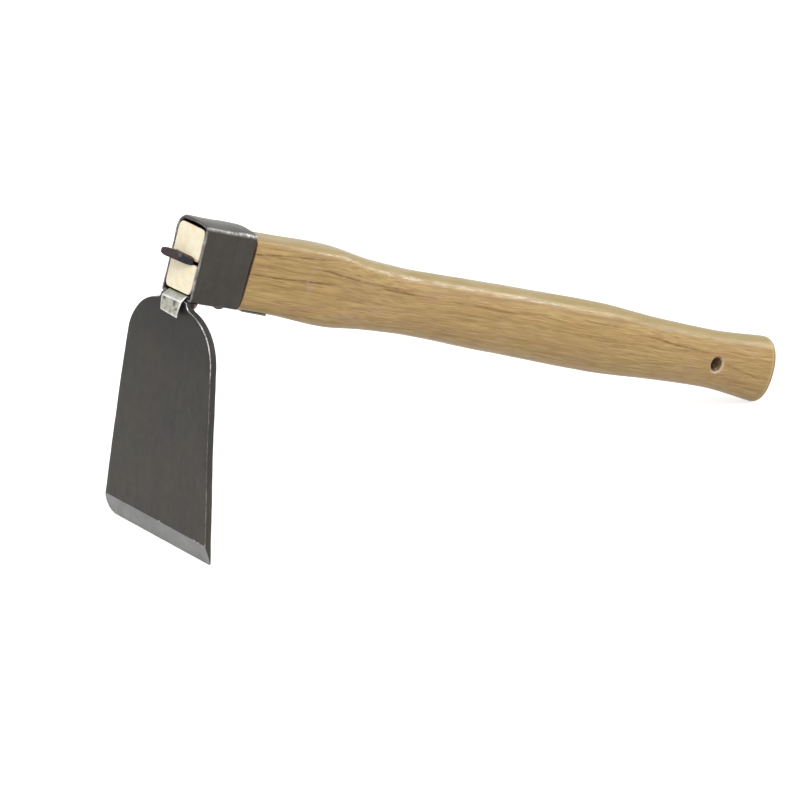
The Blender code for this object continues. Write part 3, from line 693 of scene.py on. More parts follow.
def rough_iron():
    """Hammered iron: brown at the far side, blue-grey at the near side, flecked, with a painted brown
    highlight along the near part of the top edge.
    """
    f = Finish("rough_iron_look")
    spots = f.noise(0.5, 4.0, 0.65)
    grain = f.noise(2.0, 5.0, 0.7, (1.0, 5.0, 2.0))
    chance = f.noise(0.9, 4.0, 0.6, (9.0, 2.0, 4.0))
    side = f.line(spots, 5.0, f.plus(f.y, -2.5))
    base = f.over(IRON_BLUE, IRON_BROWN, side, -1.2, 1.2)
    base = f.over(base, IRON_BLACK, grain, 0.55, 0.34, 0.7)
    # Painted brown highlight along the near part of the head's top edge
    above = f.line(f.y, -0.06, f.z)
    top_highlight = f.times(f.spread(above, 1.4, 2.4), f.spread(f.y, 3.0, 0.5))
    base = f.mix(f.times(top_highlight, f.spread(spots, 0.35, 0.6, 0.2, 0.9)), base, IRON_PAINTED_HIGHLIGHT)
    # A pale spot high on the head's front
    pale_spot = f.times(f.near(f.place, (-2.8, 0.0, 1.2), 0.8, 1.0), grain)
    fleck = f.calc("MAXIMUM", f.spread(chance, 0.62, 0.72, 0.0, 0.6), pale_spot)
    base = f.mix(fleck, base, IRON_FLECK)
    rough = f.line(grain, 0.35, 0.38)
    normal = f.bump(f.plus(grain, spots), 0.00022, 0.8)
    return f.finish(Base_Color=base, Metallic=0.45, Roughness=rough, Normal=normal)


# Pale grain, also painted as the highlight on the shoulder's edge
WOOD_PALE_AND_HIGHLIGHT = (0.545, 0.380, 0.158)
WOOD_MID = (0.355, 0.212, 0.072)
WOOD_TAN = (0.440, 0.272, 0.102)
# Brown of late wood and ticks, also painted as shade on the underside and the butt's rounding
WOOD_BROWN_AND_SHADE = (0.250, 0.135, 0.042)
WOOD_LINE = (0.165, 0.082, 0.025)
WOOD_PINK = (0.480, 0.298, 0.165)
WOOD_OLIVE = (0.455, 0.345, 0.122)
# Painted tone of the top's light and sheen
WOOD_TOP_PAINTED_LIGHT = (0.335, 0.270, 0.116)
# Scuffs and painted glints
WOOD_SCUFF_AND_GLINT = (0.540, 0.440, 0.390)
# Painted highlight for the butt's rounding
WOOD_BUTT_HIGHLIGHT = (0.500, 0.370, 0.170)
END_PALE = (0.90, 0.825, 0.655)
END_YELLOW = (0.87, 0.73, 0.43)
# Painted shade for the tenon inside the collar
TENON_PAINTED_SHADE = (0.012, 0.008, 0.006)
# Stain beside the wedge, also painted as shade on the countersink
STAIN_AND_SHADE = (0.36, 0.20, 0.085)
# Dirt and painted shade for the gap behind the collar
GAP_DIRT_AND_SHADE = (0.040, 0.016, 0.018)
BORE_PALE = (0.60, 0.46, 0.32)
# Painted shade inside the bore
BORE_PAINTED_SHADE = (0.085, 0.040, 0.020)

# The wood's places and widths are in millimetres
SHOULDER_MM = SHOULDER_X * MILLI
BUTT_EDGE_MM = BODY_END * MILLI - 1.2
HOLE_MM = (HOLE_X * MILLI, 0.0, HOLE_Z * MILLI)
FLARE_MM = COUNTERSINK_RADIUS * MILLI - 0.2
SHAFT_MM = HOLE_RADIUS * MILLI + 0.15
PITH_Y = 14.0
PITH_Z = -38.0
RING_SPACING = 3.3
RING_PROFILE = ((0.0, 0.35), (0.15, 0.0), (0.6, 0.1), (0.93, 1.0), (1.0, 0.5))
SCUFF_AND_GLINT_PLACE = (202.0, -11.0, 1.5)
LINE_HALF_WIDTH = 0.50

# Dark growth lines on the sides: first place and height, last place and height, strength
GROWTH_LINES = (
    (22.0, 8.4, 77.0, 11.5, 1.0),
    (59.0, 6.9, 133.0, 1.6, 1.0),
    (22.0, -0.8, 80.0, 1.2, 1.0),
    (104.0, 2.4, 142.0, 1.6, 1.0),
    (146.0, 1.8, 192.0, 0.9, 0.9),
    (188.0, 1.2, 210.0, 2.5, 0.5),
    (229.0, 3.0, 256.0, 2.0, 0.7),
    (233.0, -4.1, 256.0, -3.6, 0.5),
    (272.0, 0.2, 318.0, -3.5, 1.0),
    (329.0, -7.4, 354.0, -11.7, 0.7),
)


def growth_rings(f, drift):
    """Return how much late wood a place has."""
    across = f.plus(f.y, -PITH_Y)
    above = f.plus(f.z, -PITH_Z)
    squares = f.plus(f.times(across, across), f.times(above, above))
    distance = f.line(drift, 1.4, f.calc("SQRT", squares))
    count = f.calc("DIVIDE", distance, RING_SPACING)
    late = f.steps(f.calc("FRACT", count), RING_PROFILE)
    chance = f.own("TexWhiteNoise", {"noise_dimensions": "1D"}, W=f.calc("FLOOR", count))
    return f.times(late, f.spread(chance.outputs["Value"], 0.2, 0.9, 0.15, 0.75))


def growth_lines(f, wobble, flow):
    """Return how much of the broken growth lines a place has."""
    height = f.plus(f.z, f.line(wobble, 1.7, -0.85))
    lines = 0.0
    for start, start_z, end, end_z, strength in GROWTH_LINES:
        middle = f.spread(f.x, start, end, start_z, end_z)
        off = f.calc("ABSOLUTE", f.calc("SUBTRACT", height, middle))
        body = f.line(off, -1.0 / LINE_HALF_WIDTH, 1.25, clamp=True)
        taper = ((0.0, 0.0), (0.12, strength), (0.8, strength), (1.0, 0.0))
        line = f.times(body, f.steps(f.spread(f.x, start, end), taper))
        lines = f.calc("MAXIMUM", lines, line)
    broken = f.noise((0.14, 0.5, 0.5), 2.0, 0.6, (4.0, 4.0, 4.0), flow=flow)
    return f.times(lines, f.spread(broken, 0.36, 0.56, 0.35, 1.0))


def wood_wear_and_painted_light(f, base):
    """Add scuffs and painted glints on the grip, dirt and painted shade in the gap at the collar, a
    painted highlight on the shoulder's edge, and a painted highlight and shade at the butt.
    """
    speck = f.noise(0.30, 4.0, 0.6, (6.0, 2.0, 8.0))
    # Pale flecks: scuffs and painted glints of uneven lacquer
    scuffed_and_glinting = f.near(f.scaled(f.place, (3.2, 1.0, 1.0)), SCUFF_AND_GLINT_PLACE, 6.5, 7.0)
    base = f.mix(f.times(f.spread(speck, 0.40, 0.72, 0.0, 0.42), scuffed_and_glinting), base, WOOD_SCUFF_AND_GLINT)
    shoulder = f.plus(f.x, -SHOULDER_MM)
    # Painted highlight on the shoulder's rounded edge, partly a worn arris
    base = f.mix(f.steps(shoulder, ((0.7, 0.0), (0.9, 0.6), (1.0, 0.0))), base, WOOD_PALE_AND_HIGHLIGHT)
    # Dirt and painted shade in the gap behind the collar's rear rim
    base = f.over(base, GAP_DIRT_AND_SHADE, shoulder, 0.85, 0.45, 0.85)
    butt = f.line(f.z, tan(BUTT_SLANT), f.plus(f.x, -BUTT_EDGE_MM))
    # Painted highlight where the butt's rounding begins, and painted shade beyond it
    base = f.over(base, WOOD_BUTT_HIGHLIGHT, f.calc("ABSOLUTE", butt), 0.8, 0.3, 0.7)
    return f.over(base, WOOD_BROWN_AND_SHADE, butt, 0.6, 1.6, 0.8)


def wood_body(f):
    """Return the colour and the relief of the handle's sides, with painted light on upward faces and
    painted shade on downward ones.
    """
    sway = f.noise((0.012, 0.03, 0.03), 2.0, 0.5)
    wobble = f.noise((0.055, 0.10, 0.10), 2.0, 0.5, (3.0, 8.0, 1.0))
    drift = f.line(sway, 4.0, f.times(wobble, 0.4))
    flow = f.joined(f.x, f.line(drift, 0.6, f.y), f.plus(f.z, drift))
    band = f.noise((0.012, 0.17, 0.17), 3.0, 0.55, (2.0, 5.0, 1.0), flow=flow)
    fibre = f.noise((0.034, 1.0, 1.0), 4.0, 0.62, flow=flow)
    thread = f.noise((0.075, 2.0, 2.0), 4.0, 0.65, (2.0, 1.0, 7.0), flow=flow)
    tick = f.noise((0.08, 2.4, 2.4), 2.0, 0.5, (5.0, 6.0, 1.0), flow=flow)
    mottle = f.noise((0.06, 0.15, 0.15), 4.0, 0.6, (8.0, 1.0, 5.0))
    patch = f.noise((0.03, 0.08, 0.08), 3.0, 0.5, (1.0, 9.0, 2.0))
    late = growth_rings(f, drift)
    lines = growth_lines(f, wobble, flow)
    base = f.over(WOOD_MID, WOOD_PALE_AND_HIGHLIGHT, fibre, 0.27, 0.70)
    base = f.over(base, WOOD_TAN, band, 0.40, 0.62, 0.5)
    base = f.over(base, WOOD_OLIVE, patch, 0.50, 0.68, 0.4)
    base = f.over(base, WOOD_PINK, mottle, 0.54, 0.70, 0.45)
    base = f.mix(f.times(late, 0.55), base, WOOD_BROWN_AND_SHADE)
    base = f.toned(base, thread, 0.28, 0.72, 0.80, 1.14)
    base = f.over(base, WOOD_BROWN_AND_SHADE, tick, 0.56, 0.68, 0.5)
    base = f.mix(f.times(lines, 0.85), base, WOOD_LINE)
    # Painted light: upward faces take their own olive tone for how the top is lit and sheened
    base = f.over(base, WOOD_TOP_PAINTED_LIGHT, f.facing, 0.45, 0.85, 0.7)
    # Painted shade: downward faces are darkened
    base = f.over(base, WOOD_BROWN_AND_SHADE, f.facing, -0.6, -0.9, 0.12)
    base = f.toned(base, thread, 0.28, 0.72, 0.88, 1.1)
    relief = f.line(thread, 0.5, fibre)
    relief = f.calc("SUBTRACT", relief, f.plus(lines, f.times(late, 0.3)))
    return wood_wear_and_painted_light(f, base), relief


def end_grain(f, seep):
    """Colour the tenon's sawn end, stained beside the wedge."""
    cut = f.noise((0.4, 0.30, 0.30), 4.0, 0.6, (2.0, 2.0, 2.0))
    sawn = f.over(END_PALE, END_YELLOW, cut, 0.42, 0.66, 0.8)
    beside = f.plus(f.calc("ABSOLUTE", f.plus(f.z, -WEDGE_Z * MILLI)), -1.6)
    stain = f.line(seep, 2.2, f.times(beside, -0.8))
    stain = f.calc("ADD", stain, -0.75, clamp=True)
    return f.mix(f.times(stain, 0.8), sawn, STAIN_AND_SHADE)


def bare_hole_and_shade(f, seep):
    """Return how far a place is in the hanging hole, and its colour: bare wood, with painted shade
    inside the bore and on the countersink's upper left, and painted light on its lower right.
    """
    level = f.joined(f.x, 0.0, f.z)
    flare = f.near(level, HOLE_MM, FLARE_MM, 0.5)
    shaft = f.near(level, HOLE_MM, SHAFT_MM, 0.5)
    # Painted light and shade on the countersink: paler to the lower right, darker to the upper left
    lit = f.calc("SUBTRACT", f.x, f.line(f.z, 0.8, HOLE_MM[0] - 0.8 * HOLE_MM[2]))
    rim = f.over(STAIN_AND_SHADE, BORE_PALE, lit, -3.0, 1.0)
    # Painted shade inside the bore
    inside = f.mix(f.spread(seep, 0.45, 0.62, 1.0, 0.3), BORE_PALE, BORE_PAINTED_SHADE)
    return flare, f.mix(shaft, rim, inside)


def lacquered_wood():
    """Light hardwood under clear lacquer, bare at the tenon's end and in the hole, with painted shade
    on the tenon inside the collar and in the hole.
    """
    f = Finish("lacquered_wood_look")
    body, relief = wood_body(f)
    seep = f.noise((0.5, 0.6, 0.6), 4.0, 0.6, (1.0, 4.0, 9.0))
    glints = f.noise((0.20, 0.7, 0.7), 3.0, 0.6, (7.0, 7.0, 2.0))
    worn = f.noise((0.10, 0.6, 0.6), 4.0, 0.6, (2.0, 3.0, 9.0))
    slanted = f.line(f.z, tan(FRONT_SLANT), f.x)
    end = f.line(slanted, -2.5, 1.75, clamp=True)
    # Painted shade: the tenon inside the collar is darkened nearly to black
    inside = f.times(f.spread(slanted, 0.6, 1.4), f.spread(f.x, 27.0, 28.2, 0.95, 0.0))
    colour = f.mix(end, f.mix(inside, body, TENON_PAINTED_SHADE), end_grain(f, seep))
    flare, bore = bare_hole_and_shade(f, seep)
    colour = f.mix(f.times(flare, 0.85), colour, bore)

    lacquered = f.calc("SUBTRACT", 1.0, f.calc("MAXIMUM", end, flare))
    coat = f.times(f.spread(worn, 0.40, 0.60, 0.06, 0.42), lacquered)
    coat = f.times(coat, f.spread(f.facing, -0.5, 0.2, 0.35, 1.0))
    head = f.spread(f.x, 62.0, 76.0, 0.2, 1.0)
    grip = f.spread(f.x, 195.0, 220.0, 1.0, 0.3)
    coat = f.times(coat, f.calc("MINIMUM", head, grip))
    normal = f.bump(relief, 0.00009, 0.6)
    coat_normal = f.bump(f.line(relief, 0.5, glints), 0.00022, 0.6)
    sheen = f.line(worn, -0.2, 0.50)
    return f.finish(Base_Color=colour, Roughness=sheen, Specular_IOR_Level=0.22, Normal=normal,
                    Coat_Weight=coat, Coat_Roughness=0.18, Coat_IOR=1.5, Coat_Normal=coat_normal)


# Each slot's material
FINISHES = (blackened_steel, weld_bead, lacquered_wood, rough_iron, bright_strip)
LOOKS = {finish.__name__: finish() for finish in FINISHES}


# Collar

def front_rim_x(height):
    """Return where the slanted front rim stands at a height."""
    return -height * tan(FRONT_SLANT)


def rear_rim_x(height):
    """Return where the rear rim stands at a height."""
    return COLLAR_LENGTH - (height - FLOOR_Z) * tan(REAR_SLANT)


def band_side(inset, top_bend):
    """Return one side of the band, from the floor up, and the angle its crown starts at."""
    bend = max(COLLAR_BEND - inset, LEAST_BEND)
    top_bend = max(top_bend - inset, LEAST_BEND)
    side = COLLAR_HALF_WIDTH - inset
    radius = CROWN_RADIUS - inset
    reach = asin(side / radius)
    turn = QUARTER - reach
    tangent = top_bend * tan(turn / 2.0)
    top_z = CROWN_Z - CROWN_RADIUS + radius * cos(reach)
    low_centre = Vector((side - bend, FLOOR_Z + inset + bend))
    top_centre = Vector((side - top_bend, top_z - tangent))
    points = arc(low_centre, bend, -QUARTER, 0.0, 8)
    points += straight(points[-1], top_centre + Vector((top_bend, 0.0)), 16)
    points += arc(top_centre, top_bend, 0.0, turn, 10)
    return points, reach - tangent / radius


def band_outline(inset, far_bend):
    """Return the band's outline as (y, z), drawn in by an inset."""
    far, far_reach = band_side(inset, far_bend)
    near, near_reach = band_side(inset, NEAR_BEND)
    centre = (0.0, CROWN_Z - CROWN_RADIUS)
    crown = arc(centre, CROWN_RADIUS - inset, QUARTER - far_reach, QUARTER + near_reach, 20)
    near = mirrored(near)
    return far + crown[1:-1] + near + straight(near[-1], far[0], 12)


def band_ring(inset, along, at_front):
    """Return a ring of the collar, a distance along from one of its rims."""
    rim_x = front_rim_x if at_front else rear_rim_x
    outline = band_outline(inset, FAR_BEND_FRONT if at_front else FAR_BEND_REAR)
    return [Vector((rim_x(z) + along, y, z)) for y, z in outline]


def rim_rings(along, inset, radius, start, steps, at_front):
    """Return the rings round a quarter turn of a rim's edge."""
    points = arc((along, inset), radius, start, start + QUARTER, steps)
    return [band_ring(point.y, point.x, at_front) for point in points]


def between_rings(first, second, steps):
    """Return the rings between two rings."""
    return [[a.lerp(b, k / steps) for a, b in zip(first, second)] for k in range(1, steps)]


def collar_wear_and_highlight(place, normal):
    """Return a painted highlight along the collar's top bends, partly worn bare and growing towards
    the rear, and the wear on its front rim.
    """
    lean = degrees(atan2(normal.z, abs(normal.y)))
    # Painted highlight on the top bends, partly bare wear
    bend = hump(lean, 40.0, 36.0) * (0.42 + 0.55 * place.x / COLLAR_LENGTH)
    rim = 0.7 * hump(place.x, front_rim_x(place.z), RIM_OUTER_ROUND)
    if place.z > SIDE_TOP:
        return max(bend, 0.15 * rim)
    on_side = abs(place.y) > COLLAR_HALF_WIDTH - COLLAR_WALL - 0.0003
    return rim if on_side else 0.15 * rim


def make_collar():
    """Model the hand-bent band with its uneven sides."""
    inner = COLLAR_WALL - RIM_INNER_ROUND
    front = rim_rings(RIM_OUTER_ROUND, RIM_OUTER_ROUND, RIM_OUTER_ROUND, pi, 6, True)
    front_inner = rim_rings(RIM_INNER_ROUND, inner, RIM_INNER_ROUND, QUARTER, 4, True)
    rear = rim_rings(-REAR_ROUND, REAR_ROUND, REAR_ROUND, -QUARTER, 4, False)
    rear += rim_rings(-REAR_ROUND, COLLAR_WALL - REAR_ROUND, REAR_ROUND, 0.0, 4, False)
    rings = front + between_rings(front[-1], rear[0], 18)
    rings += rear + between_rings(rear[-1], front_inner[0], 12) + front_inner
    collar = loft("collar_band", rings, closed=True)
    roughen(collar, COLLAR_WAVES, inset=0.00012)
    mark_points(collar, "wear_and_highlight", collar_wear_and_highlight)
    settle(collar, "eye_collar", "blackened_steel", sharp=40.0)


# Blade

def rounded(before, corner, after, radius, steps):
    """Return the arc that rounds a corner."""
    to_before = (before - corner).normalized()
    to_after = (after - corner).normalized()
    half = to_before.angle(to_after) / 2.0
    centre = corner + (to_before + to_after).normalized() * (radius / sin(half))
    reach = radius / tan(half)
    first = corner + to_before * reach - centre
    last = corner + to_after * reach - centre
    start = atan2(first.y, first.x)
    turn = atan2(first.cross(last), first.dot(last))
    return arc(centre, radius, start, start + turn, steps)


def blade_outline():
    """Return the blade's outline, from its neck round the edge and back."""
    shoulder_y = -(SHOULDER_DROP + SHOULDER_RADIUS)
    side_x = EDGE_WIDTH / 2.0 - (BLADE_LENGTH + shoulder_y) * tan(SIDE_TAPER)
    shoulder_x = side_x - SHOULDER_RADIUS / cos(SIDE_TAPER)
    fillet_x = NECK_WIDTH / 2.0 + NECK_FILLET
    reach = SHOULDER_RADIUS + NECK_FILLET
    fillet_y = shoulder_y + sqrt(reach * reach - (fillet_x - shoulder_x) ** 2)
    meeting = atan2(fillet_y - shoulder_y, fillet_x - shoulder_x)
    half = [Vector((NECK_WIDTH / 2.0, -0.0001))]
    half += arc((fillet_x, fillet_y), NECK_FILLET, pi, pi + meeting, 10)[1:]
    half += arc((shoulder_x, shoulder_y), SHOULDER_RADIUS, meeting, SIDE_TAPER, 40)[1:]
    other_half = mirrored(half)
    far = Vector((EDGE_WIDTH / 2.0, -BLADE_LENGTH))
    near = Vector((-EDGE_WIDTH / 2.0, -BLADE_LENGTH))
    far_corner = rounded(half[-1], far, near, FAR_CORNER, 14)
    near_corner = rounded(far, near, other_half[0], NEAR_CORNER, 5)
    outline = half + straight(half[-1], far_corner[0], 20) + far_corner
    outline += straight(far_corner[-1], near_corner[0], 16) + near_corner
    return outline + straight(near_corner[-1], other_half[0], 20) + other_half


def drawn_in(points, inset):
    """Return a clockwise outline drawn in by an inset."""
    drawn = []
    for k, point in enumerate(points):
        before = (point - points[k - 1]).normalized().orthogonal()
        after = (points[(k + 1) % len(points)] - point).normalized().orthogonal()
        both = before + after
        drawn.append(point - both * (2.0 * inset / both.length_squared))
    return drawn


def make_plate():
    """Return the flat plate with its worn, rounded edges."""
    outline = blade_outline()
    radius = BLADE_EDGE_ROUND
    half = BLADE_THICKNESS / 2.0
    profile = arc((radius, radius - half), radius, -QUARTER, -pi, 5)
    profile += arc((radius, half - radius), radius, pi, QUARTER, 5)
    rings = [[Vector((x, y, z)) for x, y in drawn_in(outline, inset)] for inset, z in profile]
    return loft("blade_plate", rings)


def ground_tool():
    """Return the uneven face that grinds the edge, with deeper bites at the chips."""
    rise = BLADE_THICKNESS - EDGE_LAND
    slope_length = hypot(rise, GROUND_LENGTH)
    shape = bmesh.new()
    bmesh.ops.create_grid(shape, x_segments=220, y_segments=26, size=0.5)
    for vertex in shape.verts:
        across = vertex.co.x * (1.2 * EDGE_WIDTH)
        along = vertex.co.y * (1.7 * slope_length)
        bite = 0.0
        for place, size in CHIPS:
            gap = Vector((across - place, along - 0.5 * slope_length))
            bite += size * CHIP_DEPTH * exp(-(gap.length / CHIP_REACH) ** 2)
        wave = ripples(Vector((across, along, 0.0)), STONE_WAVES)
        vertex.co = Vector((across, along, bite + wave))
    extruded = bmesh.ops.extrude_face_region(shape, geom=shape.faces[:])
    for vertex in extruded["geom"]:
        if isinstance(vertex, bmesh.types.BMVert):
            vertex.co.z = -STONE_THICKNESS
    bmesh.ops.recalc_face_normals(shape, faces=shape.faces)
    tool = as_object("ground_tool", shape)
    middle = Vector((0.0, -BLADE_LENGTH + GROUND_LENGTH / 2.0, -EDGE_LAND / 2.0))
    slope = atan2(rise, GROUND_LENGTH)
    tool.matrix_world = Matrix.Translation(middle) @ Matrix.Rotation(-slope, 4, "X")
    return tool


def slice_plate(item):
    """Cut a lattice of edges into the plate, so that it can wave."""
    shape = opened(item.data)
    columns = int(EDGE_WIDTH / LATTICE_SPACING)
    for k in range(1, int(BLADE_LENGTH / LATTICE_SPACING)):
        slice_shape(shape, (0.0, -LATTICE_SPACING * k, 0.0), (0.0, 1.0, 0.0))
    for k in range(1, columns):
        slice_shape(shape, (LATTICE_SPACING * (k - columns / 2.0), 0.0, 0.0), (1.0, 0.0, 0.0))
    put_back(shape, item.data)


def blade_matrix():
    """Return the blade's frame: x across, y up the blade, z to its back."""
    turn = Matrix.Rotation(QUARTER, 4, "Z") @ Matrix.Rotation(QUARTER - BLADE_TILT, 4, "X")
    middle = BLADE_BACK * (BLADE_THICKNESS / 2.0) + Vector((0.0, 0.0, FLOOR_Z))
    return Matrix.Translation(middle) @ turn


def weather_blade(plate):
    """Bow the plate towards the front, and let it wave inside its outline."""
    for vertex in plate.data.vertices:
        x, y = vertex.co.xy
        share = clamped(-y / BLADE_LENGTH)
        side = Vector((copysign(SIDE_LINE, x), y, 0.0))
        inward = abs(ripples(side, SIDE_WAVES)) * min(1.0, abs(x) / SIDE_FADE)
        wave = PLATE_RISE + ripples(Vector((x, y, 0.0)), PLATE_WAVES)
        hold = min(1.0, PLATE_HOLD * share, PLATE_HOLD * (1.0 - share))
        vertex.co.x -= copysign(inward, x)
        vertex.co.z += wave * hold - 4.0 * BLADE_BOW * share * (1.0 - share)


def on_ground(face):
    """Say whether a face belongs to the ground edge."""
    sloping = face.normal.z < -0.7 and face.center.z > GROUND_CLEAR - BLADE_THICKNESS / 2.0
    return sloping and face.center.y < GROUND_TOP + GROUND_MARGIN


def blade_wear_and_highlight(face):
    """Return the bare metal in the chips, and a painted highlight on the near side's rounded edges,
    brightest towards the neck.
    """
    for place, size in CHIPS:
        if hypot(face.center.x - place, face.center.y - GROUND_TOP) < 1.6 * size:
            return 0.6
    # Painted highlight along the near side's rounded edges
    if face.center.x > -0.004 or not 0.2 < abs(face.normal.z) < 0.93:
        return 0.0
    return 0.22 + 0.70 * clamped((face.center.y + 0.030) / 0.010)


def make_blade():
    """Model the blade with its ground and chipped edge."""
    plate = carve(make_plate(), [ground_tool()])
    slice_plate(plate)
    mark_faces(plate, "ground", on_ground)
    mark_faces(plate, "wear_and_highlight", blade_wear_and_highlight)
    weather_blade(plate)
    plate.data.transform(blade_matrix())
    settle(plate, "blade", "blackened_steel", sharp=14.0)


# Weld beads

def make_bead(name, node, middle, form, planes):
    """Model a rippled bead along Y, trimmed to lie on what it joins."""
    length, radius, reach, count = form
    rings = []
    for k in range(BEAD_RINGS + 1):
        along = -1.0 + 2.0 * k / BEAD_RINGS
        taper = max(BEAD_END, cos(along * QUARTER) ** 0.4)
        scallop = 1.0 + BEAD_RIPPLE * abs(sin(pi * count * k / BEAD_RINGS))
        ring = []
        for angle in angles(28):
            lag = BEAD_LAG * cos(angle * 2.0) * (1.0 - abs(along))
            y = 0.5 * length * sin(along * QUARTER) + lag
            wide = radius * reach * taper * scallop * cos(angle)
            high = radius * taper * scallop * sin(angle)
            ring.append(middle + Vector((wide, y, high)))
        rings.append(ring)
    bead = loft(name, rings)
    roughen(bead, BEAD_WAVES)
    shape = opened(bead.data)
    for place, outward in planes:
        slice_shape(shape, place, outward, clear=True)
        bmesh.ops.holes_fill(shape, edges=[edge for edge in shape.edges if edge.is_boundary])
    bmesh.ops.recalc_face_normals(shape, faces=shape.faces)
    put_back(shape, bead.data)
    settle(bead, node, "weld_bead", sharp=45.0)


def make_welds():
    """Model the beads behind the neck and on the band's closing seam."""
    under = (Vector((0.0, 0.0, FLOOR_Z + WELD_SINK)), Vector((0.0, 0.0, 1.0)))
    back = Vector((0.0, 0.0, FLOOR_Z)) + BLADE_BACK * (BLADE_THICKNESS - WELD_SINK)
    corner = Vector((BLADE_THICKNESS * cos(BLADE_TILT), 0.0, FLOOR_Z))
    planes = (under, (back, -BLADE_BACK))
    make_bead("neck_bead", "neck_weld", corner, NECK_BEAD, planes)
    make_bead("seam_bead", "seam_weld", SEAM_PLACE, SEAM_BEAD, (under,))


# Handle

def slopes_of(places, values):
    """Return slopes that keep a cubic through the stations from overshooting."""
    rises = []
    for k in range(len(places) - 1):
        rises.append((values[k + 1] - values[k]) / (places[k + 1] - places[k]))
    slopes = [rises[0]]
    for before, after in zip(rises, rises[1:]):
        slopes.append(0.0 if before * after <= 0.0 else 2.0 * before * after / (before + after))
    slopes.append(rises[-1])
    return slopes


COLUMNS = list(zip(*STATIONS))
PLACES = [SHOULDER_X + BODY_LENGTH * share for share in COLUMNS[0]]
SLOPES = [slopes_of(PLACES, values) for values in COLUMNS]


def section(place):
    """Return the handle's height, width, drop and squareness at a place."""
    k = 0
    while k < len(PLACES) - 2 and place > PLACES[k + 1]:
        k += 1
    span = PLACES[k + 1] - PLACES[k]
    t = (place - PLACES[k]) / span
    found = []
    for values, slopes in zip(COLUMNS[1:], SLOPES[1:]):
        start = values[k] * (1.0 + 2.0 * t) * (1.0 - t) ** 2 + slopes[k] * span * t * (1.0 - t) ** 2
        end = values[k + 1] * t * t * (3.0 - 2.0 * t) - slopes[k + 1] * span * t * t * (1.0 - t)
        found.append(start + end)
    return found


def body_ring(x, ease=0.0, share=1.0):
    """Return a ring of the handle, eased in or shrunk, that leans near the butt."""
    height, width, drop, squareness = section(min(x, BODY_END))
    ring = oval(x, -drop, (height / 2.0 - ease) * share, (width / 2.0 - ease) * share, squareness)
    lean = clamped(1.0 - (BODY_END - x) / BUTT_SLANT_REACH)
    for point in ring:
        point.x -= (point.z + drop) * tan(BUTT_SLANT) * lean
    return ring


def body_rings():
    """Return the handle's rings from its shoulder to its domed butt."""
    rings = []
    for ease, step in ((0.0009, 0.0), (0.0004, 0.0002), (0.0, 0.0008)):
        rings.append(body_ring(SHOULDER_X + step, ease))
    first = rings[-1][0].x
    for k in range(1, BODY_RINGS + 1):
        rings.append(body_ring(first + (BODY_END - first) * k / BODY_RINGS))
    for k in range(1, 9):
        turn = QUARTER * k / 8
        ease = BUTT_ROUND * (1.0 - cos(turn))
        rings.append(body_ring(BODY_END + BUTT_ROUND * sin(turn), ease))
    for share in (0.85, 0.7, 0.55, 0.4, 0.25, 0.1, 0.02):
        rings.append(body_ring(HANDLE_LENGTH - BUTT_DOME * share * share, BUTT_ROUND, share))
    return rings


def tenon_rings():
    """Return the tenon's rings from its slanted end to the shoulder."""
    half_height = (TENON_TOP - TENON_BOTTOM) / 2.0
    centre = (TENON_TOP + TENON_BOTTOM) / 2.0
    shares = (0.02, 0.3, 0.6, 0.85)
    eases = ((0.0, 0.00025), (0.0002, 0.0001), (0.0006, 0.0), (0.007, 0.0), (0.014, 0.0), (0.021, 0.0))
    sizes = [(0.0, half_height * share, TENON_HALF_WIDTH * share) for share in shares]
    sizes += [(step, half_height - ease, TENON_HALF_WIDTH - ease) for step, ease in eases]
    rings = []
    for step, high, wide in sizes:
        ring = oval(0.0, centre, high, wide, TENON_SQUARENESS)
        for point in ring:
            point.x = front_rim_x(point.z) + step
        rings.append(ring)
    rings.append(oval(SHOULDER_X, centre, half_height, TENON_HALF_WIDTH, TENON_SQUARENESS))
    return rings


def hole_tool():
    """Return the cutter for the hole, flared at both sides."""
    half = section(HOLE_X)[1] / 2.0
    flare = (COUNTERSINK_RADIUS - HOLE_RADIUS) / COUNTERSINK_DEPTH
    wide = COUNTERSINK_RADIUS + flare * TOOL_BEYOND
    outer = half + TOOL_BEYOND
    inner = half - COUNTERSINK_DEPTH
    rings = []
    for y, radius in ((-outer, wide), (-inner, HOLE_RADIUS), (inner, HOLE_RADIUS), (outer, wide)):
        circle = arc((HOLE_X, HOLE_Z), radius, 0.0, 2.0 * pi, 64)[:-1]
        rings.append([Vector((x, y, z)) for x, z in circle])
    return loft("hole_tool", rings)


def kerf_tool():
    """Return the cutter for the saw cut."""
    low = WEDGE_Z - KERF_BELOW
    high = WEDGE_Z + KERF_ABOVE
    outline = ((KERF_FRONT, low), (KERF_END, low), (KERF_END, high), (KERF_FRONT, high))
    return prism("kerf_tool", outline, -KERF_HALF_WIDTH, KERF_HALF_WIDTH)


def groove_tool():
    """Return the cutter for the groove that the strip's tail lies in."""
    tail, step, inner = strip_corners()[:3]
    tail = tail + (tail - step).normalized() * GROOVE_GAP
    half = STRIP_HALF_WIDTH + GROOVE_GAP
    lift = STRIP_THICKNESS / 2.0 + GROOVE_GAP
    below = -0.03
    front = COLLAR_LENGTH / 2.0
    outline = [(front, inner.y + lift), (inner.x, inner.y + lift), (step.x, step.y + lift)]
    outline += [(tail.x, tail.y + lift), (tail.x, below), (front, below)]
    return prism("groove_tool", outline, STRIP_Y - half, STRIP_Y + half)


def butt_hold(place):
    """Let the handle's waves die away towards the butt."""
    return min(1.0, BUTT_CALM + (HANDLE_LENGTH - place.x) / BUTT_CALM_REACH)


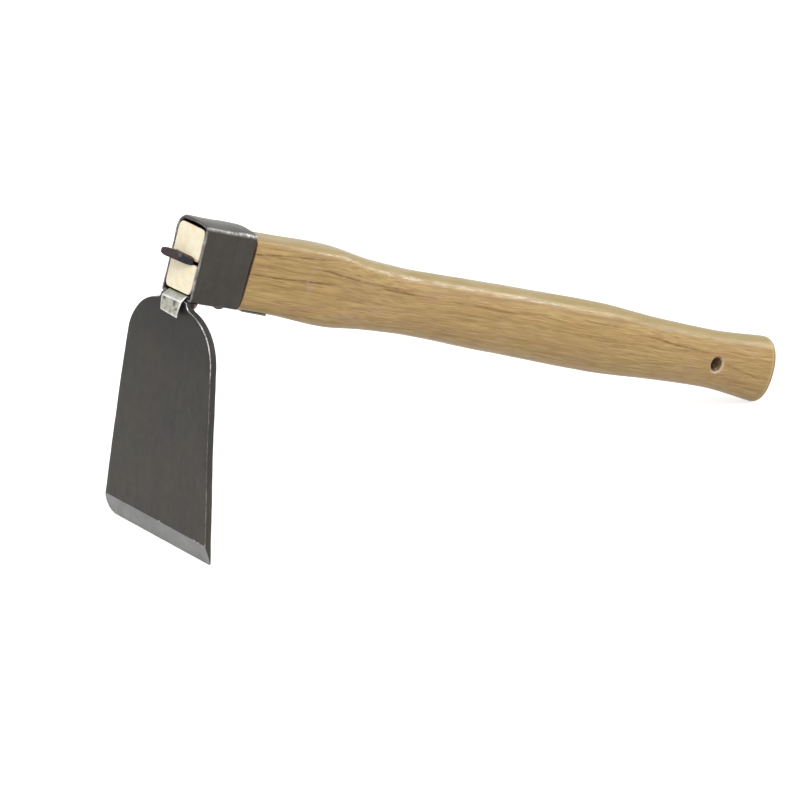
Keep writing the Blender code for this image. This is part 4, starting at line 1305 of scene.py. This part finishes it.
def make_handle():
    """Model the handle with its tenon, cuts and hole."""
    handle = loft("wood_body", tenon_rings() + body_rings())
    roughen(handle, HANDLE_WAVES, inset=0.00008, hold=butt_hold)
    seat = wedge_form("seat_tool", WEDGE_SEAT_GAP)
    handle = carve(handle, [kerf_tool(), seat, groove_tool(), hole_tool()])
    settle(handle, "wood_handle", "lacquered_wood", sharp=38.0)


# Wedge

def wedge_form(name, clearance):
    """Return the tapered wedge, with its skewed and spread head."""
    slices = [(0.0, 0.04), (0.0, 0.45), (0.0, 0.8), (0.0, 0.97), (0.008, 1.02), (0.045, 1.03)]
    slices += [(share, 1.0) for share in (0.09, 0.2, 0.4, 0.6, 0.8, 1.0)] + [(1.0, 0.1)]
    rings = []
    for share, spread in slices:
        ring = []
        for angle in angles(72, 0.5):
            flat, up = squared(angle, WEDGE_ROUNDNESS)
            across = 0.5 + 0.5 * flat * min(spread, 1.0)
            half_width = WEDGE_HALF_WIDTH * (1.0 - WEDGE_TIP_NARROWING * share) + clearance
            y = WEDGE_Y + half_width * flat * spread
            head = WEDGE_CORNER + WEDGE_SWELL * sin(pi * across) - WEDGE_FAR_THINNING * across
            thick = (head + (WEDGE_TIP - head) * share + clearance) * up * spread
            proud = WEDGE_PROUD_NEAR + (WEDGE_PROUD_FAR - WEDGE_PROUD_NEAR) * across + clearance
            tilt = -WEDGE_TILT * (0.5 - across) * (1.0 - share)
            x = -proud * (1.0 - share) + (WEDGE_BURIED + clearance) * share
            ring.append(Vector((x, y, WEDGE_Z + tilt + thick)))
        rings.append(ring)
    return loft(name, rings)


def make_wedge():
    """Model the iron wedge with its battered head."""
    wedge = wedge_form("iron_wedge", 0.0)
    roughen(wedge, WEDGE_WAVES)
    settle(wedge, "wedge", "rough_iron", sharp=30.0)


# Keeper strip

def strip_corners():
    """Return the strip's corners: tail, step, shoulder and the collar's rim."""
    corners = []
    for x in (COLLAR_LENGTH + STRIP_TAIL, SHOULDER_X + STRIP_STEP):
        height, _, drop, _ = section(x)
        corners.append(Vector((x, -drop - height / 2.0 - STRIP_TAIL_DEPTH)))
    inner_floor = FLOOR_Z + COLLAR_WALL
    level = inner_floor + STRIP_FLOOR_GAP + STRIP_THICKNESS / 2.0
    corners.append(Vector((SHOULDER_X + STRIP_THICKNESS, level)))
    corners.append(Vector((front_rim_x(inner_floor), level)))
    return corners


def strip_path():
    """Return the strip's centre line as (x, z), from tail to front."""
    corners = strip_corners()
    rim = corners[-1]
    path = []
    for first, second in zip(corners, corners[1:]):
        path.append(first)
        path += straight(first, second, 8)
    path.append(rim)
    start = QUARTER + STRIP_SLOPE
    run = STRIP_REACH - STRIP_BEND * cos(start)
    bend_z = rim.y - run * tan(STRIP_SLOPE) - STRIP_BEND * sin(start)
    bend = arc((rim.x - STRIP_REACH, bend_z), STRIP_BEND, start, pi + STRIP_LEAN, 10)
    path += straight(rim, bend[0], 3) + bend
    down = Vector((sin(STRIP_LEAN), -cos(STRIP_LEAN)))
    for k in range(1, STRIP_FRONT_STEPS + 1):
        share = k / STRIP_FRONT_STEPS
        sway = 0.00018 * sin(pi * share)
        path.append(bend[-1] + down * STRIP_DROP * share + Vector((-sway, 0.0)))
    return path


def strip_ring(point, normal, half_width, skew, yaw):
    """Return a ring across the strip, with rounded edges."""
    half = STRIP_THICKNESS / 2.0
    outline = []
    for side, start in ((1.0, -QUARTER), (-1.0, QUARTER)):
        outline += arc((side * (half_width - half), 0.0), half, start, start + pi, 6)
        edge = Vector((-side * (half_width - half), side * half))
        outline += straight(outline[-1], edge, 14)
    along = Vector((normal.y, -normal.x))
    ring = []
    for across, lift in outline:
        x, z = point + normal * lift + along * (skew * across / half_width)
        ring.append(Vector((x + yaw * across / half_width, STRIP_Y + across, z)))
    return ring


def make_strip():
    """Model the bent strip, narrower and skewed at its front end."""
    path = strip_path()
    rings = []
    last = len(path) - 1
    for k, point in enumerate(path):
        direction = (path[min(k + 1, last)] - path[max(k - 1, 0)]).normalized()
        normal = Vector((direction.y, -direction.x))
        end_share = max(0.0, (k - last + STRIP_FRONT_STEPS) / STRIP_FRONT_STEPS)
        half_width = STRIP_HALF_WIDTH - STRIP_NARROWING * end_share
        yaw = clamped(-point.x / STRIP_YAW_REACH) * (STRIP_END_YAW * end_share - STRIP_YAW)
        rings.append(strip_ring(point, normal, half_width, STRIP_SKEW * end_share, yaw))
    strip = loft("steel_strip", rings)
    low = path[-1].y

    # Painted highlight across the bend, and along the side and bottom edges, which are partly polished
    def rim(place, normal):
        if place.x > 0.003:
            return 0.0
        lean = degrees(atan2(normal.z, -normal.x))
        side = hump(abs(place.y - STRIP_Y), STRIP_HALF_WIDTH, 0.0010)
        return max(0.8 * side, hump(place.z, low, 0.0006), hump(lean, 27.0, 27.0))

    mark_points(strip, "rim", rim)
    roughen(strip, STRIP_WAVES, inset=0.00003, hold=lambda place: float(place.x <= SHOULDER_X))
    settle(strip, "keeper_strip", "bright_strip", sharp=50.0)


# Studio

def shows_background(f):
    """Return 1 for rays that show the background."""
    rays = f.own("LightPath").outputs
    seen = f.calc("MAXIMUM", rays["Is Camera Ray"], rays["Is Glossy Ray"])
    return f.calc("MAXIMUM", seen, rays["Is Transmission Ray"])


def make_floor():
    """Lay a floor that looks white and still takes the hoe's soft shadow."""
    shape = bmesh.new()
    bmesh.ops.create_grid(shape, x_segments=4, y_segments=4, size=FLOOR_REACH)
    floor = as_object("studio_floor", shape)
    f = Nodes(bpy.data.materials.new("studio_floor_paint"), "Principled BSDF")
    glow = f.times(shows_background(f), FLOOR_GLOW)
    paint = f.finish(Base_Color=(FLOOR_TONE, FLOOR_TONE, FLOOR_TONE), Roughness=0.9,
                     Specular_IOR_Level=0.0, Emission_Color=WHITE, Emission_Strength=glow)
    floor.data.materials.append(paint)


def make_world():
    """Light the studio evenly and show white beyond the floor."""
    f = Nodes(bpy.data.worlds.new("studio"), "Background")
    level = f.spread(shows_background(f), 0.0, 1.0, WORLD_LEVEL, 1.0)
    bpy.context.scene.world = f.finish(Color=WHITE, Strength=level)


def soft_light(name, place, size, watts):
    """Hang a rectangular soft box that faces the hoe."""
    light = bpy.data.lights.new(name, "AREA")
    light.shape = "RECTANGLE"
    light.size, light.size_y = size
    light.energy = watts
    item = linked(name, light)
    item.location = place
    item.rotation_euler = (TARGET - Vector(place)).to_track_quat("-Z", "Y").to_euler()


def make_camera():
    """Put the camera where the photograph was taken from."""
    data = bpy.data.cameras.new("photo_camera")
    data.lens = CAMERA_LENS
    data.sensor_width = SENSOR_WIDTH
    data.clip_start = 0.1
    data.clip_end = 50.0
    camera = linked("photo_camera", data)
    camera.matrix_world = HOE @ Matrix.Translation(CAMERA_PLACE) @ CAMERA_TURN.to_matrix().to_4x4()
    bpy.context.scene.camera = camera


def main():
    """Dress the hoe and set the studio."""
    bpy.context.scene.view_settings.view_transform = "Standard"
    make_collar()
    make_blade()
    make_welds()
    make_handle()
    make_wedge()
    make_strip()
    make_floor()
    make_world()
    for box in SOFT_BOXES:
        soft_light(*box)
    make_camera()


main()
